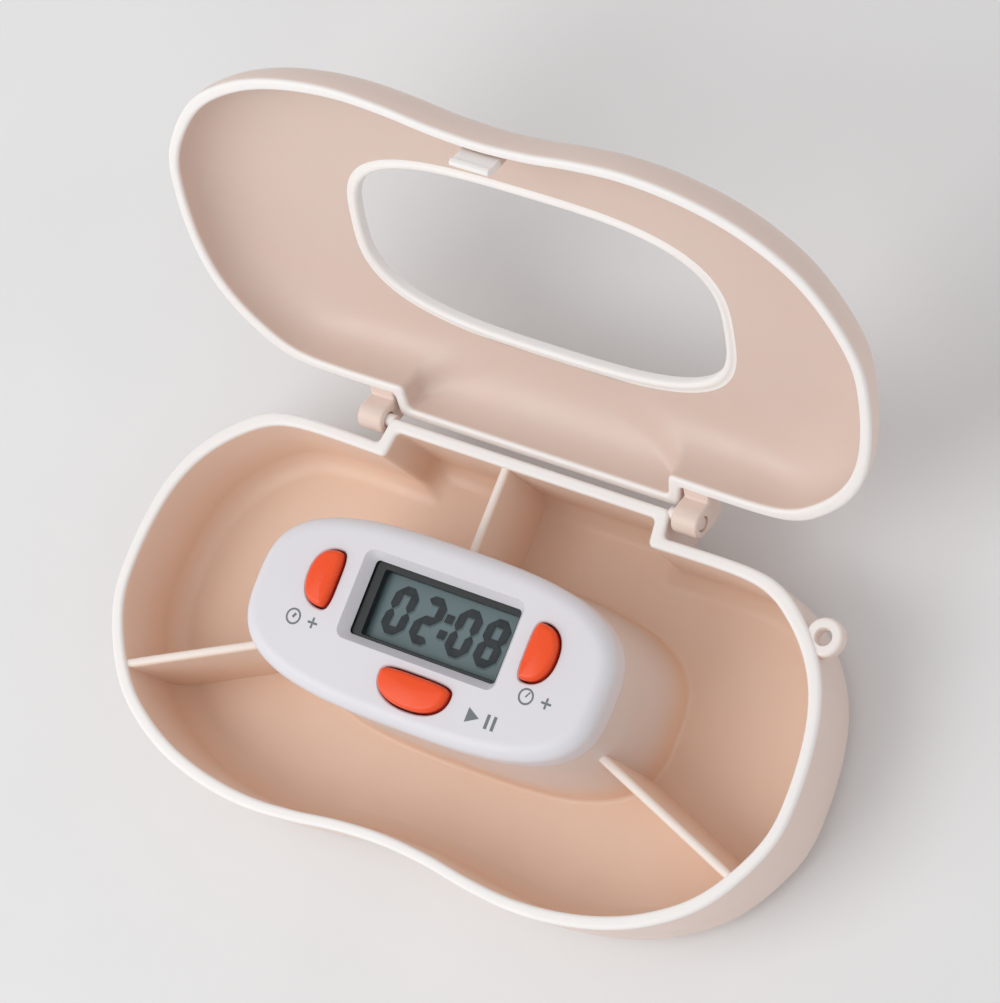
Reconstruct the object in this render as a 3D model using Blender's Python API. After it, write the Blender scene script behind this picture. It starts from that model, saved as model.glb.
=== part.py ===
"""Electronic pill box with three compartments, a hinged lid and a timer.

The base tray stands on z = 0 with its underside centred on the origin.  The
length runs along X, the hinge is at the rear (+Y) and the lid is stored open.
All lengths are in metres.
"""

import math

import bmesh
import bpy
from mathutils import Vector

MM = 0.001

# Overall sizes
LENGTH = 90.0 * MM
DEPTH = 43.9 * MM
BASE_HEIGHT = 13.0 * MM
LID_HEIGHT = 7.4 * MM
SEAM_GAP = 0.3 * MM
FIT_GAP = 0.3 * MM
OVERRUN = 1.0 * MM
EDGE_ROUND = 0.25 * MM
LID_OPEN_ANGLE = math.radians(124.0)

# Outline of the two shells, seen from above, as shares of half the length and depth
OUTLINE_SHARES = (
    (0.0, 1.0), (0.356, 1.0), (0.7, 0.995), (0.77, 0.955), (0.832, 0.872), (0.9, 0.736),
    (0.95, 0.575), (0.983, 0.37), (1.0, 0.05), (0.99, -0.215), (0.933, -0.475),
    (0.862, -0.665), (0.764, -0.812), (0.66, -0.91), (0.53, -0.976), (0.4, -1.0),
    (0.27, -0.982), (0.135, -0.943), (0.0, -0.927),
)
HALF_STEPS = 40
FACE_STEPS = 28
CURVE_STEPS = 10

# Base tray
WALL = 1.4 * MM
FLOOR = 1.4 * MM
BASE_DRAFT = 0.6 * MM
BOTTOM_RADIUS = 3.6 * MM
CORNER_STEPS = 4
DIVIDER_THICKNESS = 1.1 * MM
DIVIDER_DROP = 0.4 * MM
RIGHT_DIVIDER_SHARE = 0.625
LEFT_DIVIDER_SHARE = 0.64
DIVIDER_POST_SHARE = 0.6
REAR_DIVIDER_OFFSET = 2.7 * MM

# Timer housing in the middle of the tray
TIMER_FROM_REAR = 19.3 * MM
FACE_LENGTH = 46.4 * MM
FACE_WIDTH = 21.2 * MM
FACE_EXPONENT = 3.05
FACE_PROUD = 0.1 * MM
FACE_PLATE = 1.4 * MM
FACE_SKIRT = 3.6 * MM
FACE_ROUND = 1.5 * MM
FACE_OVERHANG = 0.8 * MM
POST_WALL = 1.3 * MM
POST_DRAFT = 1.4 * MM
POST_FILLET = 0.6 * MM

# Lid
LID_WALL = 1.3 * MM
DOME_LENGTH_INSET = 15.0 * MM
DOME_DEPTH_INSET = 9.5 * MM
DOME_REARWARD = 2.5 * MM
DOME_EXPONENT = 2.6
DOME_STEPS = 7
WINDOW_GAP = 0.5 * MM
WINDOW_ROUND = 0.45 * MM
TOP_STEPS = 2

# Hinge, with the stretch of rear wall that both shells carry further back between the arms
HINGE_BACK = 2.9 * MM
HINGE_DROP = 1.0 * MM
BUMP_REACH = 3.15 * MM
BUMP_WIDTH = 38.0 * MM
BUMP_SLANT = 0.4 * MM
BUMP_STEPS = 7
ARM_RADIUS = 1.7 * MM
ARM_WIDTH = 3.3 * MM
ARM_RISE = 2.2 * MM
STUD_RADIUS = 0.8 * MM
STUD_GAP = 0.15 * MM
HINGE_SEGMENTS = 24

# Latch and key ring eyelet
LATCH_WIDTH = 5.0 * MM
LATCH_THICKNESS = 1.0 * MM
LATCH_BELOW = 2.0 * MM
LATCH_ABOVE = 4.1 * MM
LATCH_BARB = 0.2 * MM
CATCH_DEPTH = 0.35 * MM
CATCH_MARGIN = 0.8 * MM
EYE_RADIUS = 2.2 * MM
EYE_HOLE_RADIUS = 0.9 * MM
EYE_THICKNESS = 1.7 * MM
EYE_DROP = 0.3 * MM
EYE_REACH = 1.2 * MM
EYE_OUTLINE_SHARE = 0.387

# Display
SCREEN_KEY_GAP = 3.4 * MM
SCREEN_WIDTH = 8.0 * MM
SCREEN_FROM_REAR = 17.4 * MM
SCREEN_BEVEL = 0.9 * MM
SCREEN_CORNER = 0.5 * MM
SCREEN_BORDER = 0.35 * MM
GLASS_MARGIN_LENGTH = 1.5 * MM
GLASS_MARGIN_WIDTH = 1.3 * MM
GLASS_THICKNESS = 1.6 * MM
BEZEL_THICKNESS = 0.7 * MM
ZEBRA_WIDTH = 1.8 * MM

# Keys
SIDE_KEY_INSET = 8.7 * MM
SIDE_KEY_FROM_REAR = 17.0 * MM
SIDE_KEY_DEPTH = 3.6 * MM
SIDE_KEY_WIDTH = 6.5 * MM
START_KEY_OFFSET = 1.3 * MM
START_KEY_FROM_REAR = 25.7 * MM
START_KEY_DEPTH = 3.8 * MM
START_KEY_WIDTH = 9.0 * MM
KEY_FLAT_SHARE = 0.24
KEY_ROUND_EXPONENT = 2.3
KEY_FLAT_EXPONENT = 3.6
KEY_SEGMENTS = 24
KEY_PROUD = 1.0 * MM
KEY_EDGE = 0.4 * MM
KEY_FLANGE = 1.0 * MM
KEY_FLANGE_MARGIN = 0.55 * MM
KEY_STEM = 1.0 * MM
KEY_TRAVEL = 0.6 * MM
PAD_RADIUS = 1.5 * MM
PAD_TIP_RADIUS = 0.9 * MM
PAD_GAP = 0.15 * MM

# Circuit board and what it carries
BOARD_DROP = 5.0 * MM
BOARD_THICKNESS = 1.0 * MM
BOARD_END_GAP = 0.6 * MM
BOARD_WIDTH = 14.6 * MM
BOARD_CORNER = 3.0 * MM
CHIP_HEIGHT = 1.0 * MM
CRYSTAL_LENGTH = 5.4 * MM
CRYSTAL_REARWARD = 0.6 * MM
BUZZER_HEIGHT = 5.0 * MM
BUZZER_PORT_RADIUS = 0.9 * MM
BUZZER_PORT_DEPTH = 1.2 * MM
CHIP_PLACE_SHARE = 0.26
CHIP_WIDTH_SHARE = 0.225
BUZZER_PLACE_SHARE = 0.606
BUZZER_WIDTH_SHARE = 0.416
CRYSTAL_PLACE_SHARE = 0.909
CRYSTAL_WIDTH_SHARE = 0.087

# Battery and its door
CELL_RADIUS = 5.8 * MM
CELL_HEIGHT = 5.4 * MM
CELL_CAP_RADIUS = 4.7 * MM
CELL_CAP_HEIGHT = 0.5 * MM
CELL_BOSS_GAP = 1.4 * MM
DOOR_RADIUS = 6.8 * MM
DOOR_SINK = 0.2 * MM
DOOR_HUB_RADIUS = 6.3 * MM
DOOR_TAB_REACH = 1.3 * MM
DOOR_TAB_WIDTH = 3.0 * MM
DOOR_TAB_THICKNESS = 0.8 * MM
DOOR_TURN = math.radians(50.0)
COIN_SLOT_LENGTH = 8.6 * MM
COIN_SLOT_WIDTH = 1.4 * MM
COIN_SLOT_DEPTH = 0.7 * MM
CONTACT_THICKNESS = 0.3 * MM
CONTACT_WIDTH = 3.0 * MM
CONTACT_REACH = 3.0 * MM

# Screws
FACE_SCREW_INSET = 4.4 * MM
FACE_BOSS_RADIUS = 1.7 * MM
BASE_BOSS_RADIUS = 2.6 * MM
BASE_BOSS_HEIGHT = 9.0 * MM
SCREW_RADIUS = 0.75 * MM
SCREW_HEAD_RADIUS = 1.7 * MM
SCREW_HEAD_HEIGHT = 1.2 * MM
SCREW_SINK = 0.6 * MM
SCREW_GAP = 0.25 * MM
SCREW_END_GAP = 0.6 * MM
FACE_SCREW_GRIP = 5.5 * MM
CROSS_DEPTH = 0.5 * MM
CROSS_WIDTH = 0.5 * MM
CROSS_LENGTH = 2.0 * MM
BOARD_SCREW_INSET = 2.5 * MM
BOARD_SCREW_FORWARD = 4.3 * MM
BOARD_BOSS_RADIUS = 1.2 * MM
BOARD_SCREW_RADIUS = 0.5 * MM
BOARD_SCREW_HEAD_RADIUS = 1.1 * MM
BOARD_SCREW_HEAD_HEIGHT = 0.7 * MM
BOARD_SCREW_GRIP = 3.0 * MM
ROUND_SEGMENTS = 28
SMALL_SEGMENTS = 14

# Places worked out from the sizes above
HALF_LENGTH = LENGTH / 2
HALF_DEPTH = DEPTH / 2
LID_RIM_Z = BASE_HEIGHT + SEAM_GAP
LID_TOP_Z = LID_RIM_Z + LID_HEIGHT
FACE_TOP_Z = LID_TOP_Z + FACE_PROUD
FACE_UNDER_Z = FACE_TOP_Z - FACE_PLATE
FACE_BOTTOM_Z = FACE_TOP_Z - FACE_SKIRT
POST_TOP_Z = FACE_BOTTOM_Z - FIT_GAP
BOARD_TOP_Z = FACE_UNDER_Z - BOARD_DROP
BOARD_BOTTOM_Z = BOARD_TOP_Z - BOARD_THICKNESS
UNDER_BOARD_Z = BOARD_BOTTOM_Z - FIT_GAP
TIMER_Y = HALF_DEPTH - TIMER_FROM_REAR
SCREEN_Y = HALF_DEPTH - SCREEN_FROM_REAR
FACE_HALF_LENGTH = FACE_LENGTH / 2
FACE_HALF_WIDTH = FACE_WIDTH / 2
POST_HALF_LENGTH = FACE_HALF_LENGTH - FACE_OVERHANG
POST_HALF_WIDTH = FACE_HALF_WIDTH - FACE_OVERHANG
HINGE_Y = HALF_DEPTH + HINGE_BACK
HINGE_Z = BASE_HEIGHT - HINGE_DROP
BUMP_HALF = BUMP_WIDTH / 2
ARM_START = BUMP_HALF + FIT_GAP
ARM_END = ARM_START + ARM_WIDTH
FACE_SCREW_OFFSET = FACE_HALF_LENGTH - FACE_SCREW_INSET
SIDE_KEY_OFFSET = FACE_HALF_LENGTH - SIDE_KEY_INSET
SCREEN_LENGTH = 2 * (SIDE_KEY_OFFSET - SIDE_KEY_DEPTH / 2 - SCREEN_KEY_GAP)
BOARD_LENGTH = 2 * (FACE_SCREW_OFFSET - FACE_BOSS_RADIUS - BOARD_END_GAP)
BOARD_SCREW_OFFSET = BOARD_LENGTH / 2 - BOARD_SCREW_INSET
CELL_OFFSET = FACE_SCREW_OFFSET - BASE_BOSS_RADIUS - CELL_BOSS_GAP - CELL_RADIUS
ROOM_START = CONTACT_REACH - CELL_OFFSET
ROOM_LENGTH = FACE_SCREW_OFFSET - FACE_BOSS_RADIUS - ROOM_START
CHIP_OFFSET = ROOM_START + ROOM_LENGTH * CHIP_PLACE_SHARE
CHIP_RADIUS = ROOM_LENGTH * CHIP_WIDTH_SHARE / 2
BUZZER_OFFSET = ROOM_START + ROOM_LENGTH * BUZZER_PLACE_SHARE
BUZZER_RADIUS = ROOM_LENGTH * BUZZER_WIDTH_SHARE / 2
CRYSTAL_OFFSET = ROOM_START + ROOM_LENGTH * CRYSTAL_PLACE_SHARE
CRYSTAL_RADIUS = ROOM_LENGTH * CRYSTAL_WIDTH_SHARE / 2
HATCH_RADIUS = DOOR_RADIUS + FIT_GAP
HUB_TOP_Z = FLOOR + FIT_GAP + DOOR_TAB_THICKNESS
CELL_BOTTOM_Z = HUB_TOP_Z + FIT_GAP
CELL_TOP_Z = CELL_BOTTOM_Z + CELL_HEIGHT


# Materials
def material(name, color, roughness, metallic=0.0):
    """Return a Principled material with one base colour."""
    result = bpy.data.materials.new(name)
    result.use_nodes = True
    shader = result.node_tree.nodes["Principled BSDF"]
    shader.inputs["Base Color"].default_value = (*color, 1.0)
    shader.inputs["Roughness"].default_value = roughness
    shader.inputs["Metallic"].default_value = metallic
    result.diffuse_color = (*color, 1.0)
    return result


# Plane curves
def even_points(points, steps):
    """Return steps + 1 points evenly spaced along an open polyline."""
    lengths = [0.0]
    for start, end in zip(points, points[1:]):
        lengths.append(lengths[-1] + math.dist(start, end))
    result = []
    segment = 0
    for step in range(steps + 1):
        target = lengths[-1] * step / steps
        while segment < len(points) - 2 and lengths[segment + 1] < target:
            segment += 1
        span = lengths[segment + 1] - lengths[segment]
        share = (target - lengths[segment]) / span
        start = points[segment]
        end = points[segment + 1]
        result.append((start[0] + (end[0] - start[0]) * share, start[1] + (end[1] - start[1]) * share))
    return result


def mirrored(half):
    """Close a half curve, drawn from rear centre to front centre, across X = 0."""
    return half + [(-x, y) for x, y in reversed(half[1:-1])]


def spline_point(points, share):
    """Return a point on a centripetal Catmull-Rom piece between points 1 and 2."""
    knots = [0.0]
    for start, end in zip(points, points[1:]):
        knots.append(knots[-1] + math.sqrt(math.dist(start, end)))
    place = knots[1] + (knots[2] - knots[1]) * share
    level = [Vector(point) for point in points]
    for order in (1, 2, 3):
        level = [
            level[i].lerp(level[i + 1], (place - first) / (last - first))
            for i, (first, last) in enumerate(spans(knots, order))
        ]
    return level[0].x, level[0].y


def spans(knots, order):
    """Return the knot span that each blend of a Catmull-Rom step covers."""
    if order == 1:
        return [(knots[0], knots[1]), (knots[1], knots[2]), (knots[2], knots[3])]
    if order == 2:
        return [(knots[0], knots[2]), (knots[1], knots[3])]
    return [(knots[1], knots[2])]


def shell_outline():
    """Return the plain outline of the shells from rear centre to front centre."""
    half = [(x * HALF_LENGTH, y * HALF_DEPTH) for x, y in OUTLINE_SHARES]
    before = (-half[1][0], half[1][1])
    after = (-half[-2][0], half[-2][1])
    chain = [before] + half + [after]
    curve = []
    for index in range(len(half) - 1):
        for step in range(CURVE_STEPS):
            curve.append(spline_point(chain[index:index + 4], step / CURVE_STEPS))
    curve.append(half[-1])
    return curve


SHELL_OUTLINE = shell_outline()


def shell_half(length_inset, depth_inset, bump=BUMP_REACH):
    """Return half the shell outline, drawn in, with the rear wall carried back between the arms."""
    x_scale = (HALF_LENGTH - length_inset) / HALF_LENGTH
    y_scale = (HALF_DEPTH - depth_inset) / HALF_DEPTH
    plain = [(x * x_scale, y * y_scale) for x, y in SHELL_OUTLINE]
    rear = plain[0][1]
    side = BUMP_HALF - depth_inset
    first = next(i for i, point in enumerate(plain) if point[0] > side)
    crest = even_points([(0.0, rear + bump), (side - BUMP_SLANT, rear + bump)], BUMP_STEPS)
    return crest + even_points([(side, rear)] + plain[first:], HALF_STEPS - BUMP_STEPS - 1)


def shell_curve(length_inset, depth_inset, bump=BUMP_REACH):
    """Return the whole shell outline drawn in by one distance at the ends and one at the sides."""
    return mirrored(shell_half(length_inset, depth_inset, bump))


def oval_half(half_length, half_width, steps=HALF_STEPS):
    """Return half of the timer's squared oval from rear centre to front centre."""
    power = 2 / FACE_EXPONENT
    count = steps * CURVE_STEPS
    curve = []
    for step in range(count + 1):
        angle = math.pi * step / count
        x = half_length * math.sin(angle) ** power
        y = math.copysign(half_width * abs(math.cos(angle)) ** power, math.cos(angle))
        curve.append((x, TIMER_Y + y))
    curve[-1] = (0.0, TIMER_Y - half_width)
    return even_points(curve, steps)


def oval(half_length, half_width, steps=HALF_STEPS):
    """Return the whole squared oval round the timer's centre."""
    return mirrored(oval_half(half_length, half_width, steps))


def circle(radius, segments, x=0.0, y=0.0):
    """Return a circle's points."""
    angles = [2 * math.pi * i / segments for i in range(segments)]
    return [(x + radius * math.cos(angle), y + radius * math.sin(angle)) for angle in angles]


def rounded_rectangle(length, width, corner, x=0.0, y=0.0):
    """Return a rectangle with rounded corners, counter-clockwise."""
    points = []
    for quarter, (sx, sy) in enumerate(((1, 1), (-1, 1), (-1, -1), (1, -1))):
        for step in range(CORNER_STEPS):
            angle = (quarter + step / (CORNER_STEPS - 1)) * math.pi / 2
            points.append((
                x + sx * (length / 2 - corner) + corner * math.cos(angle),
                y + sy * (width / 2 - corner) + corner * math.sin(angle),
            ))
    return points


def key_curve(depth, width):
    """Return a D outline that bulges to +X, with its flat side to -X."""
    bulge = depth * (1 - KEY_FLAT_SHARE)
    flat = depth * KEY_FLAT_SHARE
    count = KEY_SEGMENTS * CURVE_STEPS
    curve = []
    for step in range(count + 1):
        angle = 2 * math.pi * step / count
        side = math.cos(angle)
        reach, power = (bulge, 2 / KEY_ROUND_EXPONENT) if side > 0 else (flat, 2 / KEY_FLAT_EXPONENT)
        x = math.copysign(reach * abs(side) ** power, side)
        y = math.copysign(width / 2 * abs(math.sin(angle)) ** power, math.sin(angle))
        curve.append((x + flat - depth / 2, y))
    return even_points(curve, KEY_SEGMENTS)[:-1]


def offset(points, distance):
    """Move a convex counter-clockwise outline outwards by a distance."""
    result = []
    count = len(points)
    for i in range(count):
        before = Vector(points[i]) - Vector(points[i - 1])
        after = Vector(points[(i + 1) % count]) - Vector(points[i])
        first = Vector((before.y, -before.x)).normalized()
        second = Vector((after.y, -after.x)).normalized()
        middle = (first + second).normalized()
        moved = Vector(points[i]) + middle * (distance / middle.dot(first))
        result.append((moved.x, moved.y))
    return result


def turned(points, angle):
    """Turn an outline about the origin."""
    c = math.cos(angle)
    s = math.sin(angle)
    return [(x * c - y * s, x * s + y * c) for x, y in points]


# Solids
def level(points, z):
    """Lift an outline to a height."""
    return [Vector((x, y, z)) for x, y in points]


def across(points, x):
    """Stand an outline drawn in Y and Z at a place along X."""
    return [Vector((x, y, z)) for y, z in points]


def finish(name, mesh_data, surface):
    """Turn a bmesh into an object with outward faces and smooth shading."""
    bmesh.ops.recalc_face_normals(mesh_data, faces=mesh_data.faces)
    mesh = bpy.data.meshes.new(name)
    mesh_data.to_mesh(mesh)
    mesh_data.free()
    result = bpy.data.objects.new(name, mesh)
    bpy.context.scene.collection.objects.link(result)
    if surface is not None:
        mesh.materials.append(surface)
    return result


def loft(name, rings, surface=None, closed=False):
    """Skin a row of rings, with flat ends or with the last ring joined to the first."""
    mesh_data = bmesh.new()
    rows = [[mesh_data.verts.new(point) for point in ring] for ring in rings]
    pairs = list(zip(rows, rows[1:]))
    if closed:
        pairs.append((rows[-1], rows[0]))
    for first, second in pairs:
        count = len(first)
        for i in range(count):
            j = (i + 1) % count
            mesh_data.faces.new((first[i], first[j], second[j], second[i]))
    if not closed:
        mesh_data.faces.new(rows[0])
        mesh_data.faces.new(rows[-1])
    return finish(name, mesh_data, surface)


def prism(name, points, bottom, top, surface=None):
    """Raise an outline from one height to another."""
    return loft(name, [level(points, bottom), level(points, top)], surface)


def beam(name, points, start, end, surface=None):
    """Draw an outline in Y and Z out along X."""
    return loft(name, [across(points, start), across(points, end)], surface)


def box(name, x_range, y_range, z_range, surface=None):
    """Return a block between three pairs of limits."""
    points = [
        (x_range[0], y_range[0]), (x_range[1], y_range[0]),
        (x_range[1], y_range[1]), (x_range[0], y_range[1]),
    ]
    return prism(name, points, z_range[0], z_range[1], surface)


def revolve(name, profile, segments, surface=None):
    """Turn a profile of radii and heights about Z, with flat ends."""
    rings = [level(circle(radius, segments), z) for radius, z in profile]
    return loft(name, rings, surface)


def combine(target, tool, operation):
    """Join a tool to a target, or cut it out, and remove the tool."""
    tool.hide_render = True
    tool.display_type = "WIRE"
    modifier = target.modifiers.new(operation, "BOOLEAN")
    modifier.operation = operation
    modifier.solver = "EXACT"
    modifier.object = tool
    bpy.context.view_layer.update()
    graph = bpy.context.evaluated_depsgraph_get()
    result = bpy.data.meshes.new_from_object(target.evaluated_get(graph))
    target.modifiers.clear()
    previous = target.data
    target.data = result
    result.name = target.name
    bpy.data.meshes.remove(previous)
    bpy.data.objects.remove(tool)


def join(target, tool):
    """Fuse a tool with a target."""
    combine(target, tool, "UNION")


def cut(target, tool):
    """Cut a tool out of a target."""
    combine(target, tool, "DIFFERENCE")


def smooth(target, angle=math.radians(32.0)):
    """Shade smooth, with edges sharper than an angle kept crisp."""
    target.data.shade_smooth()
    target.data.set_sharp_from_angle(angle=angle)


def place(target, x, y, z, parent=None):
    """Set an object's place, carried by its parent."""
    target.location = (x, y, z)
    target.parent = parent
    smooth(target)
    return target


# Base tray
def wall_inset(z):
    """Return how far the drafted outer wall lies inside the rim at a height."""
    return BASE_DRAFT * (1 - z / BASE_HEIGHT)


def base_rings():
    """Return the tray's rings from underside, over the rim, to the timer pocket's floor."""
    rings = []
    for step in range(CORNER_STEPS + 1):
        angle = math.pi / 2 * step / CORNER_STEPS
        z = BOTTOM_RADIUS * (1 - math.cos(angle))
        inset = wall_inset(z) + BOTTOM_RADIUS * (1 - math.sin(angle))
        rings.append(level(shell_curve(inset, inset), z))
    rings.append(level(shell_curve(0.0, 0.0), BASE_HEIGHT - EDGE_ROUND))
    rings.append(level(shell_curve(EDGE_ROUND, EDGE_ROUND), BASE_HEIGHT))
    inner_edge = WALL - EDGE_ROUND
    rings.append(level(shell_curve(inner_edge, inner_edge), BASE_HEIGHT))
    rings.append(level(shell_curve(WALL, WALL), BASE_HEIGHT - EDGE_ROUND))
    inner_radius = BOTTOM_RADIUS - WALL
    for step in range(CORNER_STEPS + 1):
        angle = math.pi / 2 * step / CORNER_STEPS
        z = FLOOR + inner_radius * (1 - math.sin(angle))
        inset = wall_inset(z) + WALL + inner_radius * (1 - math.cos(angle))
        rings.append(level(shell_curve(inset, inset), z))
    foot_length = POST_HALF_LENGTH + POST_DRAFT
    foot_width = POST_HALF_WIDTH + POST_DRAFT
    rings.append(level(oval(foot_length + POST_FILLET, foot_width + POST_FILLET), FLOOR))
    rings.append(level(oval(foot_length, foot_width), FLOOR + POST_FILLET))
    rings.append(level(oval(POST_HALF_LENGTH, POST_HALF_WIDTH), POST_TOP_Z - EDGE_ROUND))
    rings.append(level(oval(POST_HALF_LENGTH - EDGE_ROUND, POST_HALF_WIDTH - EDGE_ROUND), POST_TOP_Z))
    pocket_length = POST_HALF_LENGTH - POST_WALL
    pocket_width = POST_HALF_WIDTH - POST_WALL
    rings.append(level(oval(pocket_length, pocket_width), POST_TOP_Z))
    rings.append(level(oval(pocket_length, pocket_width), FLOOR))
    return rings


def at_share(half, share):
    """Return the point at a share of the way along a half curve."""
    place_along = share * (len(half) - 1)
    index = min(int(place_along), len(half) - 2)
    part = place_along - index
    start = half[index]
    end = half[index + 1]
    return Vector((start[0] + (end[0] - start[0]) * part, start[1] + (end[1] - start[1]) * part))


def wall_middles():
    """Return height and draw-in pairs down the middle of the tray's wall and its bottom corner."""
    radius = BOTTOM_RADIUS - WALL / 2
    pairs = []
    for step in range(CORNER_STEPS + 1):
        angle = math.pi / 2 * step / CORNER_STEPS
        z = WALL / 2 + radius * (1 - math.cos(angle))
        pairs.append((z, wall_inset(z) + WALL / 2 + radius * (1 - math.sin(angle))))
    pairs.append((BASE_HEIGHT - DIVIDER_DROP, WALL / 2))
    return pairs


def divider(name, outer_at, inner):
    """Return an upright web from a point in the post's wall to the tray's wall, which it follows down."""
    away = (outer_at(WALL / 2) - inner).normalized()
    side = away.orthogonal() * (DIVIDER_THICKNESS / 2)
    rings = []
    for z, inset in wall_middles():
        outer = inner + away * (outer_at(inset) - inner).dot(away)
        corners = (outer + side, outer - side, inner - side, inner + side)
        rings.append(level([(corner.x, corner.y) for corner in corners], z))
    return loft(name, rings)


def add_dividers(tray):
    """Fuse the webs that part the tray into three compartments."""
    post_middle = oval_half(POST_HALF_LENGTH - POST_WALL / 2, POST_HALF_WIDTH - POST_WALL / 2)

    def right_wall(inset):
        return at_share(shell_half(inset, inset), RIGHT_DIVIDER_SHARE)

    def left_wall(inset):
        point = at_share(shell_half(inset, inset), LEFT_DIVIDER_SHARE)
        return Vector((-point.x, point.y))

    def rear_wall(inset):
        return Vector((-REAR_DIVIDER_OFFSET, shell_half(inset, inset)[0][1]))

    inner = at_share(post_middle, DIVIDER_POST_SHARE)
    join(tray, divider("divider_right", right_wall, inner))
    join(tray, divider("divider_left", left_wall, Vector((-inner.x, inner.y))))
    join(tray, divider("divider_rear", rear_wall, Vector((-REAR_DIVIDER_OFFSET, post_middle[0][1]))))


def add_studs(tray):
    """Fuse the two round studs that the lid's arms turn on."""
    points = [(HINGE_Y + y, HINGE_Z + z) for y, z in circle(STUD_RADIUS, SMALL_SEGMENTS)]
    for side in (-1, 1):
        join(tray, beam("stud", points, side * (BUMP_HALF - WALL / 2), side * (ARM_END - STUD_GAP)))


def eyelet_centre():
    """Return the eyelet's centre beside the rear right corner."""
    half = shell_half(0.0, 0.0)
    point = at_share(half, EYE_OUTLINE_SHARE)
    step = 1 / HALF_STEPS
    along = at_share(half, EYE_OUTLINE_SHARE + step) - at_share(half, EYE_OUTLINE_SHARE - step)
    outward = Vector((-along.y, along.x)).normalized()
    return point + outward * EYE_REACH


def add_eyelet(tray):
    """Fuse the key ring eyelet to the outer wall and drill it."""
    centre = eyelet_centre()
    top = BASE_HEIGHT - EYE_DROP
    bottom = top - EYE_THICKNESS
    join(tray, prism("eyelet", circle(EYE_RADIUS, SMALL_SEGMENTS, centre.x, centre.y), bottom, top))
    hole = circle(EYE_HOLE_RADIUS, SMALL_SEGMENTS, centre.x, centre.y)
    cut(tray, prism("eyelet_hole", hole, bottom - OVERRUN, top + OVERRUN))


def add_bosses(tray):
    """Fuse the two screw posts in the timer pocket and bore them from below."""
    shoulder = SCREW_SINK + SCREW_HEAD_HEIGHT + FIT_GAP
    for side in (-1, 1):
        x = side * FACE_SCREW_OFFSET
        boss = circle(BASE_BOSS_RADIUS, ROUND_SEGMENTS, x, TIMER_Y)
        join(tray, prism("boss", boss, FLOOR / 2, BASE_BOSS_HEIGHT))
        bore = circle(SCREW_RADIUS + SCREW_GAP, SMALL_SEGMENTS, x, TIMER_Y)
        cut(tray, prism("bore", bore, -OVERRUN, BASE_BOSS_HEIGHT + OVERRUN))
        sink = circle(SCREW_HEAD_RADIUS + SCREW_GAP, ROUND_SEGMENTS, x, TIMER_Y)
        cut(tray, prism("sink", sink, -OVERRUN, shoulder))


def cut_hatch(tray):
    """Cut the battery hatch and the two notches that let the door's tabs pass."""
    hatch = circle(HATCH_RADIUS, ROUND_SEGMENTS, -CELL_OFFSET, TIMER_Y)
    cut(tray, prism("hatch", hatch, -OVERRUN, FLOOR + OVERRUN))
    reach = DOOR_HUB_RADIUS + DOOR_TAB_REACH + FIT_GAP
    half_width = DOOR_TAB_WIDTH / 2 + FIT_GAP
    x_range = (-CELL_OFFSET - half_width, -CELL_OFFSET + half_width)
    y_range = (TIMER_Y - reach, TIMER_Y + reach)
    cut(tray, box("notches", x_range, y_range, (-OVERRUN, FLOOR + OVERRUN)))


def latch_outer_y():
    """Return where the latch tab's front face stands, just inside the tray's front wall."""
    return shell_half(WALL, WALL)[-1][1] + FIT_GAP


def cut_catch(tray):
    """Cut the shallow groove in the front wall that the latch tab's barb springs into."""
    half = LATCH_WIDTH / 2 + CATCH_MARGIN
    wall_face = latch_outer_y() - FIT_GAP
    bottom = LID_RIM_Z - LATCH_BELOW - CATCH_MARGIN
    top = BASE_HEIGHT - CATCH_MARGIN
    cut(tray, box("catch", (-half, half), (wall_face - CATCH_DEPTH, wall_face + OVERRUN), (bottom, top)))


def make_base_tray(surface):
    """Return the tray with compartments, timer pocket, hinge studs and openings."""
    tray = loft("base_tray", base_rings(), surface)
    add_dividers(tray)
    add_studs(tray)
    add_eyelet(tray)
    add_bosses(tray)
    cut_hatch(tray)
    cut_catch(tray)
    return place(tray, 0.0, 0.0, 0.0)


# Lid
def to_hinge(rings):
    """Move rings from the closed place to places about the hinge axis."""
    shift = Vector((0.0, HINGE_Y, HINGE_Z))
    return [[point - shift for point in ring] for ring in rings]


def dome_rings(wall, steps):
    """Return rings up the rounded side of the lid, drawn in by a wall thickness."""
    rings = []
    height = LID_HEIGHT - wall
    length_reach = DOME_LENGTH_INSET - wall
    depth_reach = DOME_DEPTH_INSET - wall
    power = 2 / DOME_EXPONENT
    for step in range(1, steps + 1):
        angle = math.pi / 2 * step / steps
        side = max(0.0, math.cos(angle)) ** power
        draw_in = 1 - side
        curve = shell_curve(wall + length_reach * draw_in, wall + depth_reach * draw_in, BUMP_REACH * side)
        z = LID_RIM_Z + height * math.sin(angle) ** power
        rings.append([Vector((x, y + DOME_REARWARD * draw_in, z)) for x, y in curve])
    return rings


def blend(first, second, share):
    """Return a ring between two rings of like count."""
    return [start.lerp(end, share) for start, end in zip(first, second)]


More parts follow.
